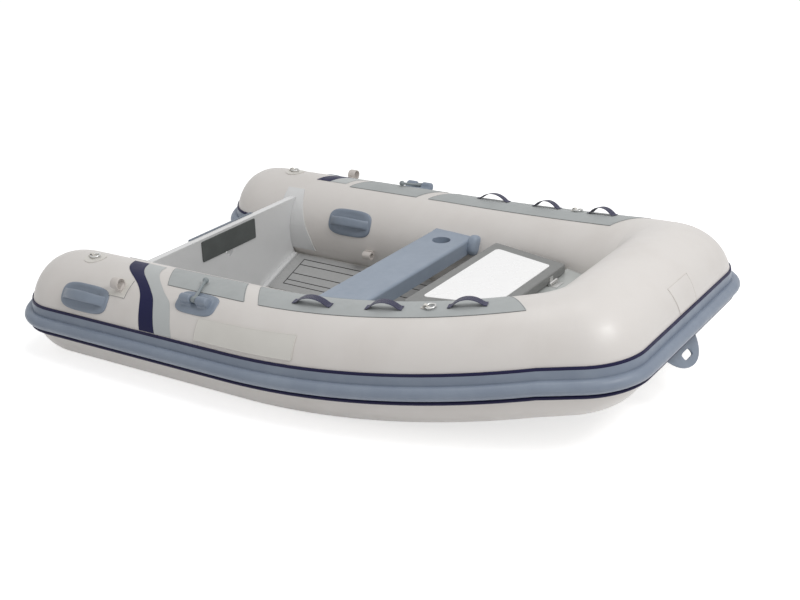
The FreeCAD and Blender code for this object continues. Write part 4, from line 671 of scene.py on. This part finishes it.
def pin_shells():
    """Hub turned on the rowlock's axis; shaft and ball turned about a line inboard and a little down."""
    drop, yaw = math.radians(PIN_DROP_DEG), math.radians(PIN_YAW_DEG)
    way = np.array([-math.sin(yaw), -math.cos(yaw) * math.cos(drop), -math.cos(yaw) * math.sin(drop)])
    side = unit(np.cross(way, (0.0, 0.0, 1.0)))
    place = skin_frame(ROWLOCK_X, ROWLOCK_DEG, BARREL_AXIS)
    hub, hub_faces = turned(PIN_HUB, 36)
    shaft, shaft_faces = turned(PIN_SHAFT, 36)
    shaft = shaft @ np.stack([way, side, np.cross(way, side)])
    return [(placed(hub, place), hub_faces), (placed(shaft, place), shaft_faces)]


build("rowlock_moulding_port", rowlock_shells(), HANDLE_RUBBER, instead=("rowlock_port",),
      crease=60.0)
build("rowlock_moulding_starboard", starboard(rowlock_shells()), HANDLE_RUBBER,
      instead=("rowlock_starboard",), crease=60.0)
build("rowlock_turned_pin_port", pin_shells(), PIN_ALLOY, body="pin_port", instead=("rowlock_pin_port",),
      crease=50.0)
build("rowlock_turned_pin_starboard", starboard(pin_shells()), PIN_ALLOY, body="pin_starboard",
      instead=("rowlock_pin_starboard",), crease=50.0)

# Navy piping under the strake's bumper

line_points = widest_line()
PIPING_OUT, PIPING_DROP, PIPING_R = 0.0105, 0.0520, 0.0066
piping_drop = np.full(len(line_points), -PIPING_DROP)
piping_path = line_points[:, :3] + np.column_stack([line_points[:, 3:] * PIPING_OUT, piping_drop])
build("strake_piping", [bead(piping_path, PIPING_R)], NAVY_RUBBER)

# Seat ends: a thin moulded shoe on each tube and a full rounded cheek forward of the thwart, both given as
# place along the tube, angle round it, half length, half width and superellipse power

SHOE = (0.012, -69.0, 0.118, 0.038, 5.0)
CHEEK = (0.119, -68.0, 0.027, 0.042, 3.0)
SHOE_REACHES = (0.0, 0.7, 0.86, 0.94, 0.98, 1.0)
SHOE_HEIGHTS = (0.008, 0.008, 0.0078, 0.0066, 0.004, 0.0004)
CHEEK_REACHES = (0.0, 0.3, 0.5, 0.66, 0.8, 0.9, 0.96, 0.99, 1.0)
CHEEK_HEIGHTS = (0.034, 0.0335, 0.0322, 0.03, 0.0262, 0.0205, 0.014, 0.0075, 0.0004)
SEAT_TOP = 0.298
CAP_AFT, CAP_FORE, CAP_INNER_Y, CAP_T = -0.106, 0.108, 0.428, 0.009
CAP_PROUD, CAP_EDGE, CAP_CORNER_POWER = 0.0003, 0.004, 9


def seat_cap():
    """Level web from the thwart's top out to the tube: rings of five points from its aft to its fore end.

    Its inner edge runs out to the tube as one minus the root of (one minus a power of the share along it).
    """
    share = np.linspace(0.0, 1.0, 49)
    x = CAP_AFT + (CAP_FORE - CAP_AFT) * share
    level = SEAT_TOP + CAP_PROUD
    turn = np.degrees(np.arccos((level - tube_height(x)) / (TUBE_R + SKIN_GAP)))
    outer = skin(x, -turn, SKIN_GAP)[:, 1]
    inner = outer - (outer - CAP_INNER_Y) * (1.0 - share ** CAP_CORNER_POWER) ** 0.5
    y = np.stack([inner + CAP_EDGE, outer, outer, inner, inner], -1)
    z = np.array([level, level, level - CAP_T, level - CAP_T, level - CAP_EDGE])
    ring = np.stack([np.repeat(x[:, None], 5, 1), y, np.broadcast_to(z, y.shape)], -1)
    ends = [np.broadcast_to(ring[i].mean(axis=0), ring[i].shape) for i in (0, -1)]
    return grid(np.concatenate([ends[:1], ring, ends[1:]]), wrap_cols=True)


shoe = pad_on_skin(*SHOE, SHOE_REACHES, SHOE_HEIGHTS, SKIN_GAP)
cheek = pad_on_skin(*CHEEK, CHEEK_REACHES, CHEEK_HEIGHTS, SKIN_GAP)
build("seat_end_mouldings", port_and_starboard([shoe, cheek, seat_cap()]), SEAT_PLASTIC,
      instead=("seat_end_brackets",), crease=40.0)

# Paddle loops: a thick-lipped sleeve on a flared foot, lying along the tube

LOOP_X, LOOP_DEG, LOOP_HALF = -0.741, 37.0, 0.039
LOOP_AXIS = 0.0267
LOOP_OUT_R, LOOP_IN_R, LOOP_HALF_L = 0.0245, 0.0172, 0.018
WAIST_SHARE, LIP_SHARE = 0.72, 0.28
LOOP_FOOT_SHARE = 0.92
LOOP_FOOT_LOW = -0.0262
LOOP_FOOT_YS = (-0.0225, -0.0205, -0.0165, -0.0135, 0.0135, 0.0165, 0.0205, 0.0225, 0.0225, -0.0225)
LOOP_FOOT_ZS = (-0.0245, -0.0225, -0.0175, -0.0125, -0.0125, -0.0175, -0.0225, -0.0245, -0.0262, -0.0262)


def sleeve():
    """Ring section turned about the sleeve's axis: lips at both ends thicker than its waist."""
    turn = np.linspace(0.0, 2.0 * math.pi, 25)[:-1]
    x = LOOP_HALF_L * np.cos(turn)
    thick = WAIST_SHARE + LIP_SHARE * np.cos(turn) ** 2
    radius = (LOOP_OUT_R + LOOP_IN_R) / 2.0 + np.sin(turn) * (LOOP_OUT_R - LOOP_IN_R) / 2.0 * thick
    around = np.linspace(0.0, 2.0 * math.pi, 49)[:-1]
    y, z = radius[:, None] * np.sin(around), radius[:, None] * np.cos(around)
    return grid(np.stack([np.repeat(x[:, None], len(around), 1), y, z], -1), wrap_rows=True, wrap_cols=True)


def sleeve_foot():
    """Block under the sleeve, flared to the patch and hollowed to the sleeve's waist."""
    share = np.linspace(-1.0, 1.0, 21)
    x = share * LOOP_HALF_L * LOOP_FOOT_SHARE
    full = (1.0 - np.abs(share) ** 10)[:, None] ** 0.5
    y = full * np.array(LOOP_FOOT_YS)
    z = LOOP_FOOT_LOW + (np.array(LOOP_FOOT_ZS) - LOOP_FOOT_LOW) * full
    return grid(np.stack([np.repeat(x[:, None], len(LOOP_FOOT_YS), 1), y, z], -1), wrap_cols=True)


loop_place = skin_frame(LOOP_X, LOOP_DEG, LOOP_AXIS)
loop_shells = [(placed(points, loop_place), faces) for points, faces in (sleeve(), sleeve_foot())]
build("paddle_loop_sleeves", port_and_starboard(loop_shells), LOOP_RUBBER, instead=("paddle_loops",),
      crease=50.0)

# Tow handle: thick slotted plate with full rims, and its flange under the bow tube

TOW_DEG, TOW_TILT_DEG = 119.0, 47.0
TOW_HALF_L, TOW_DEPTH, TOW_HALF_T = 0.130, 0.078, 0.0075
SLOT_DROP, SLOT_HALF_L, SLOT_HALF_H = 0.035, 0.036, 0.013
TOW_ROOT, TOW_ROOT_SINE, TOW_NO_ROOT = 0.004, 0.05, 9.0
TOW_SIDE_POWER, TOW_FACE_POWER = 0.35, 0.7
TOW_WEB_SHARE, TOW_RIM_SHARE = 0.74, 0.26
TOW_FLANGE_HALF_W, TOW_FLANGE_POWER, TOW_FLANGE_SHARE = 0.0215, 6.0, 0.6


def slotted_plate():
    """Rings from the slot's superellipse out to the plate's circular edge, with both rims thicker."""
    turn = np.linspace(0.0, 2.0 * math.pi, 145)[:-1]
    cosine, sine = np.cos(turn), np.sin(turn)
    slot = (np.abs(cosine / SLOT_HALF_L) ** 4 + np.abs(sine / SLOT_HALF_H) ** 4) ** -0.25
    radius = (TOW_HALF_L ** 2 + TOW_DEPTH ** 2) / (2.0 * TOW_DEPTH)
    rise = SLOT_DROP - (TOW_DEPTH - radius)
    edge = -rise * sine + np.sqrt(radius ** 2 - (rise * cosine) ** 2)
    to_root = (SLOT_DROP + TOW_ROOT) / np.maximum(-sine, TOW_ROOT_SINE)
    root = np.where(sine < -TOW_ROOT_SINE, to_root, TOW_NO_ROOT)
    reach = np.minimum(edge, root)
    around = np.linspace(0.0, 2.0 * math.pi, 37)[:-1]
    across = np.sign(np.cos(around)) * np.abs(np.cos(around)) ** TOW_SIDE_POWER
    full = np.sign(np.sin(around)) * np.abs(np.sin(around)) ** TOW_FACE_POWER
    rim = TOW_WEB_SHARE + TOW_RIM_SHARE * np.abs(across) ** 5
    out = (slot + reach)[:, None] / 2.0 + (reach - slot)[:, None] / 2.0 * across
    level = TOW_HALF_T * np.broadcast_to(full * rim, out.shape)
    x, y = out * cosine[:, None], SLOT_DROP + out * sine[:, None]
    return grid(np.stack([x, y, level], -1), wrap_rows=True, wrap_cols=True)


tilt = math.radians(TOW_TILT_DEG)
tow_down = (math.cos(tilt), 0.0, -math.sin(tilt))
tow_out = (-math.sin(tilt), 0.0, -math.cos(tilt))
tow_axes = np.array([(0.0, 1.0, 0.0), tow_down, tow_out])
plate_points, plate_faces = slotted_plate()
tow_plate = (placed(plate_points, (tow_axes, front_skin(0.0, TOW_DEG, 0.0))), plate_faces)
tow_flange = pad_on_skin(0.0, TOW_DEG, TOW_HALF_L, TOW_FLANGE_HALF_W, TOW_FLANGE_POWER, SHOE_REACHES,
                         np.array(SHOE_HEIGHTS) * TOW_FLANGE_SHARE, SKIN_GAP, front_skin)
build("tow_handle_moulding", [tow_plate, tow_flange], HANDLE_RUBBER, instead=("tow_handle",),
      crease=60.0)

# Black caulking laid in the grooves of the sole pads

SEAM_YS = (0.255, 0.282, 0.325, 0.382, 0.416)
CENTRE_SEAM_YS = (-0.150, -0.075, 0.0, 0.075, 0.150)
SEAM_XS = (-0.781, 0.150)
SEAM_HALF_W = 0.0024
SEAM_TOP = 0.0058
SEAM_SINK = 0.0008
SEAM_SHARES = np.array([-1.0, -0.9, -0.5, 0.0, 0.5, 0.9, 1.0, 1.0, -1.0])
SEAM_HEIGHTS = np.array([-0.0003, 0.0, 0.0002, 0.0003, 0.0002, 0.0, -0.0003, -0.0019, -0.0019])
PAD_GAP = 0.0003
CENTRE_BASE = -0.0306


def caulk_line(a, b, lift_top, place):
    """Flat bar with a slightly crowned top between two points of a flat pad, in the pad's own plane."""
    a, b = np.array(a), np.array(b)
    ahead = unit(b - a)
    side = np.array([-ahead[1], ahead[0]])
    start, end = a - ahead * SEAM_HALF_W, b + ahead * SEAM_HALF_W
    ends = np.array([start, start, end, end])
    share = np.array([0.0, 1.0, 1.0, 0.0])[:, None]
    flat = ends[:, None] + (SEAM_SHARES * SEAM_HALF_W * share)[..., None] * side
    level = lift_top - SEAM_SINK + (SEAM_HEIGHTS + SEAM_SINK) * share
    points = np.concatenate([flat, level[..., None]], -1)
    points, faces = grid(points, wrap_cols=True)
    return placed(points, place), faces


def side_pad_place():
    """The port pad's plane: turned by the deadrise about the keel line and set on the plate."""
    turn = math.radians(DEADRISE_DEG)
    across = (0.0, math.cos(turn), math.sin(turn))
    out = (0.0, -math.sin(turn), math.cos(turn))
    return np.array([(1.0, 0.0, 0.0), across, out]), np.array([0.0, 0.0, KEEL_Z + PAD_GAP / math.cos(turn)])


def seam_net(ys, top, place):
    """Lines along the pad at each y, joined by one across it at each end."""
    aft, fore = SEAM_XS
    lines = [((aft, y), (fore, y)) for y in ys] + [((x, min(ys)), (x, max(ys))) for x in SEAM_XS]
    return [caulk_line(a, b, top, place) for a, b in lines]


slope = math.cos(math.radians(DEADRISE_DEG))
side_seams = seam_net([y / slope for y in SEAM_YS], SEAM_TOP, side_pad_place())
centre_seams = seam_net(CENTRE_SEAM_YS, CENTRE_BASE + SEAM_TOP, (np.eye(3), np.zeros(3)))
build("sole_caulking", port_and_starboard(side_seams) + centre_seams, CAULKING)

# Sealant beads round the sheets that are bonded to the tubes, their dark grey partly the sealant's own colour
# and partly painted shade along the sheets' edges

WEAR_AFT_DEG = (-16.0, 21.6)
WEAR_BOW_DEG = (-21.5, 19.5)
WEAR_TIP_DEG = 1.5
WEAR_TAPER_XS = (-0.130, 0.796)
WEAR_PATCHES = (((-0.625, -0.277), (-0.549, -0.193)), ((-0.215, 0.726), (-0.130, 0.796)))


def wear_edge(x):
    """Inner and outer edge angle of a wear patch, both drawn inboard in a straight line to the bow."""
    share = np.clip((x - WEAR_TAPER_XS[0]) / (WEAR_TAPER_XS[1] - WEAR_TAPER_XS[0]), 0.0, 1.0)
    return [aft + (bow - aft) * share for aft, bow in zip(WEAR_AFT_DEG, WEAR_BOW_DEG)]


def wear_outline(inner_xs, outer_xs):
    """Round the patch: outer edge forward, slanted fore end, inner edge aft, slanted aft end."""
    out_x = np.linspace(outer_xs[0], outer_xs[1], 60)
    in_x = np.linspace(inner_xs[1], inner_xs[0], 60)
    fore_share = np.linspace(0.0, 1.0, 14)[1:-1]
    fore_x = outer_xs[1] + (inner_xs[1] - outer_xs[1]) * fore_share
    fore_low, fore_high = wear_edge(fore_x)
    fore_deg = fore_high + (fore_low + WEAR_TIP_DEG - fore_high) * fore_share
    aft_x = inner_xs[0] + (outer_xs[0] - inner_xs[0]) * fore_share
    aft_low, aft_high = wear_edge(aft_x)
    aft_deg = aft_low + WEAR_TIP_DEG + (aft_high - aft_low - WEAR_TIP_DEG) * fore_share
    x = np.concatenate([out_x, fore_x, in_x, aft_x])
    angle = np.concatenate([wear_edge(out_x)[1], fore_deg, wear_edge(in_x)[0], aft_deg])
    return skin(x, angle, SKIN_GAP + 0.0005)


def corner_run(corners, count):
    """Straight runs in x and angle between the corners of a sheet, closed."""
    corners = np.array(corners, float)
    share = np.linspace(0.0, 1.0, count, endpoint=False)[:, None]
    return np.concatenate([a + (b - a) * share for a, b in zip(corners, np.roll(corners, -1, 0))])


def sheet_bead(corners, lift, radius):
    """Closed bead round a sheet on the port tube."""
    flat = corner_run(corners, 24)
    return bead(skin(flat[:, 0], flat[:, 1], lift), radius, closed=True)


# The beads' dark grey stands partly for painted shade along the wear patches' lower edges
wear_beads = [bead(wear_outline(*patch), 0.0011, closed=True) for patch in WEAR_PATCHES]
build("wear_patch_sealant_and_shade_beads", port_and_starboard(wear_beads), EDGE_SEALANT_AND_SHADE)

loop_arc = math.degrees(LOOP_HALF / TUBE_R)
loop_corners = [(LOOP_X - LOOP_HALF, LOOP_DEG - loop_arc), (LOOP_X + LOOP_HALF, LOOP_DEG - loop_arc),
                (LOOP_X + LOOP_HALF, LOOP_DEG + loop_arc), (LOOP_X - LOOP_HALF, LOOP_DEG + loop_arc)]
loop_bead = sheet_bead(loop_corners, SKIN_GAP + 0.0004, 0.0009)
build("paddle_patch_beads", port_and_starboard([loop_bead]), EDGE_SEALANT_AND_SHADE)

PLATE_CORNERS = ((-0.332, 50.2), (0.071, 47.8), (0.071, 72.0), (-0.332, 72.0))
plate_rim = sheet_bead(PLATE_CORNERS, SKIN_GAP + 0.0032, 0.0014)
build("name_plate_rims", port_and_starboard([plate_rim]), PLATE_CLOTH)

BOW_PATCH_DEG = (48.0, 75.5)
BOW_PATCH_HALF = (0.084, 0.074)
BOW_PATCH_T = 0.0016
BOW_PATCH_ANGLE_POWER, BOW_PATCH_SIDE_POWER, BOW_PATCH_EDGE_POWER = 30, 60, 0.3


def bow_sheet():
    """Thin sheet on the bow tube, narrowing evenly downwards, eased by high powers at its edges."""
    share = np.linspace(0.0, 1.0, 25)
    across = np.linspace(-1.0, 1.0, 49)
    angle = BOW_PATCH_DEG[0] + (BOW_PATCH_DEG[1] - BOW_PATCH_DEG[0]) * share[:, None]
    half = BOW_PATCH_HALF[0] + (BOW_PATCH_HALF[1] - BOW_PATCH_HALF[0]) * share[:, None]
    ends = 1.0 - np.abs(2.0 * share[:, None] - 1.0) ** BOW_PATCH_ANGLE_POWER
    sides = 1.0 - np.abs(across[None]) ** BOW_PATCH_SIDE_POWER
    edge = np.maximum(np.minimum(ends, sides), 0.0) ** BOW_PATCH_EDGE_POWER
    top = front_skin(half * across, angle, SKIN_GAP + BOW_PATCH_T * edge)
    back = front_skin(half * across, angle, SKIN_GAP)
    return [grid(top), grid(back)]


bow_corners = np.array([(-BOW_PATCH_HALF[0], BOW_PATCH_DEG[0]), (BOW_PATCH_HALF[0], BOW_PATCH_DEG[0]),
                        (BOW_PATCH_HALF[1], BOW_PATCH_DEG[1]), (-BOW_PATCH_HALF[1], BOW_PATCH_DEG[1])])
bow_flat = corner_run(bow_corners, 24)
build("bow_patch_sheet", bow_sheet(), TUBE_CLOTH, instead=("bow_patch",))
bow_edge = front_skin(bow_flat[:, 0], bow_flat[:, 1], SKIN_GAP + 0.0004)
build("bow_patch_bead", [bead(bow_edge, 0.0008, closed=True)], LOOP_RUBBER)

# Floor at the waterline, soft studio light and the camera

WHITE = (1.0, 1.0, 1.0, 1.0)
HULL_PLATE_T = 0.004
KEEL_RISE_X = 0.180
KEEL_BOW_X = 0.800
KEEL_BOW_Z = 0.062
KEEL_RISE_POWER = 2.1
TRANSOM_MID_X = -0.872
FLOOR_MID_X = -0.1
FLOOR_REACH = 60.0
FLOOR_GLOW = 0.62
SKY_STRENGTH = 0.46
CAMERA_PLACE = (2.5715, -3.911, 2.111)
CAMERA_RIGHT = (0.8412, 0.5402, -0.0251)
CAMERA_BACK = (0.5068, -0.7714, 0.3847)
CAMERA_LENS, CAMERA_SENSOR = 58.06, 36.0


def waterline():
    """Where the middle of the hull's plate meets z = 0: straight sides, closed by the keel's power curve."""
    deadrise = math.tan(math.radians(DEADRISE_DEG))
    keel = KEEL_Z - HULL_PLATE_T / 2.0 / math.cos(math.radians(DEADRISE_DEG))
    rise = KEEL_BOW_Z - KEEL_Z
    bow_x = KEEL_RISE_X + (KEEL_BOW_X - KEEL_RISE_X) * (-keel / rise) ** (1.0 / KEEL_RISE_POWER)
    aft_x = np.linspace(TRANSOM_MID_X, KEEL_RISE_X, 12)
    x = np.concatenate([aft_x, np.linspace(KEEL_RISE_X, bow_x, 60)[1:]])
    run = np.maximum(x - KEEL_RISE_X, 0.0) / (KEEL_BOW_X - KEEL_RISE_X)
    y = np.maximum(-(keel + rise * run ** KEEL_RISE_POWER), 0.0) / deadrise
    port = np.column_stack([x, y])
    return np.concatenate([port, port[-2::-1] * (1.0, -1.0)])


def backdrop_rays(tree):
    """One for rays that see the backdrop straight, in a reflection or through a clear piece, else nought."""
    path = tree.nodes.new("ShaderNodeLightPath")
    either = tree.nodes.new("ShaderNodeMath")
    either.operation = "MAXIMUM"
    tree.links.new(path.outputs["Is Camera Ray"], either.inputs[0])
    tree.links.new(path.outputs["Is Glossy Ray"], either.inputs[1])
    seen = tree.nodes.new("ShaderNodeMath")
    seen.operation = "MAXIMUM"
    tree.links.new(either.outputs[0], seen.inputs[0])
    tree.links.new(path.outputs["Is Transmission Ray"], seen.inputs[1])
    return seen.outputs[0]


def studio_floor():
    """Level sheet at z = 0, open inside the hull: rings from the waterline to a circle beyond the view."""
    inner = waterline()
    turn = np.arctan2(inner[:, 1], inner[:, 0] - FLOOR_MID_X)
    outer = np.column_stack([FLOOR_MID_X + FLOOR_REACH * np.cos(turn), FLOOR_REACH * np.sin(turn)])
    share = (np.linspace(0.0, 1.0, 12) ** 4)[:, None, None]
    flat = inner[None] + (outer - inner)[None] * share
    points, faces = grid(np.concatenate([flat, np.zeros(flat.shape[:2] + (1,))], -1), wrap_cols=True)
    mesh = bpy.data.meshes.new("floor")
    mesh.from_pydata(points.tolist(), [], faces[:, ::-1].tolist())
    finish = Finish("floor_white", srgb(0.94, 0.94, 0.94), 0.9)
    finish.set("Specular IOR Level", 0.0)
    tree = finish.tree
    glow = finish.add("ShaderNodeEmission")
    glow.inputs["Color"].default_value = WHITE
    glow.inputs["Strength"].default_value = FLOOR_GLOW
    lit = finish.add("ShaderNodeAddShader")
    finish.link(finish.shader.outputs[0], lit.inputs[0])
    finish.link(glow.outputs[0], lit.inputs[1])
    either = finish.add("ShaderNodeMixShader")
    finish.link(backdrop_rays(tree), either.inputs[0])
    finish.link(finish.shader.outputs[0], either.inputs[1])
    finish.link(lit.outputs[0], either.inputs[2])
    finish.link(either.outputs[0], tree.nodes["Material Output"].inputs["Surface"])
    mesh.materials.append(finish.material)
    floor = bpy.data.objects.new("floor", mesh)
    bpy.context.scene.collection.objects.link(floor)


def studio_world():
    """White to the camera and in reflections; an even soft sky for everything else."""
    world = bpy.data.worlds.new("studio")
    bpy.context.scene.world = world
    world.use_nodes = True
    tree = world.node_tree
    tree.nodes.clear()
    out = tree.nodes.new("ShaderNodeOutputWorld")
    seen = tree.nodes.new("ShaderNodeBackground")
    seen.inputs["Color"].default_value = WHITE
    seen.inputs["Strength"].default_value = 1.0
    sky = tree.nodes.new("ShaderNodeBackground")
    sky.inputs["Color"].default_value = WHITE
    sky.inputs["Strength"].default_value = SKY_STRENGTH
    mix = tree.nodes.new("ShaderNodeMixShader")
    tree.links.new(backdrop_rays(tree), mix.inputs[0])
    tree.links.new(sky.outputs[0], mix.inputs[1])
    tree.links.new(seen.outputs[0], mix.inputs[2])
    tree.links.new(mix.outputs[0], out.inputs["Surface"])


def softbox(name, place, target, size, power):
    """Square area lamp of the given side, turned to face the target."""
    lamp = bpy.data.lights.new(name, "AREA")
    lamp.size = size
    lamp.energy = power
    holder = bpy.data.objects.new(name, lamp)
    holder.location = place
    holder.rotation_euler = (Vector(target) - Vector(place)).to_track_quat("-Z", "Y").to_euler()
    bpy.context.scene.collection.objects.link(holder)


def studio_camera():
    """Camera at the photograph's place: columns right, up and back of its matrix, and its position."""
    data = bpy.data.cameras.new("camera")
    data.sensor_width = CAMERA_SENSOR
    data.lens = CAMERA_LENS
    camera = bpy.data.objects.new("camera", data)
    right = Vector(CAMERA_RIGHT).normalized()
    back = Vector(CAMERA_BACK).normalized()
    up = back.cross(right).normalized()
    right = up.cross(back)
    turn = Matrix((right, up, back)).transposed().to_4x4()
    camera.matrix_world = Matrix.Translation(CAMERA_PLACE) @ turn
    bpy.context.scene.collection.objects.link(camera)
    bpy.context.scene.camera = camera


studio_floor()
studio_world()
softbox("key", (3.6, -0.9, 4.4), (0.2, 0.0, 0.2), 2.0, 112.0)
softbox("top", (-0.6, 0.4, 5.2), (0.0, 0.0, 0.2), 2.6, 42.0)
studio_camera()
bpy.context.scene.view_settings.view_transform = "Standard"
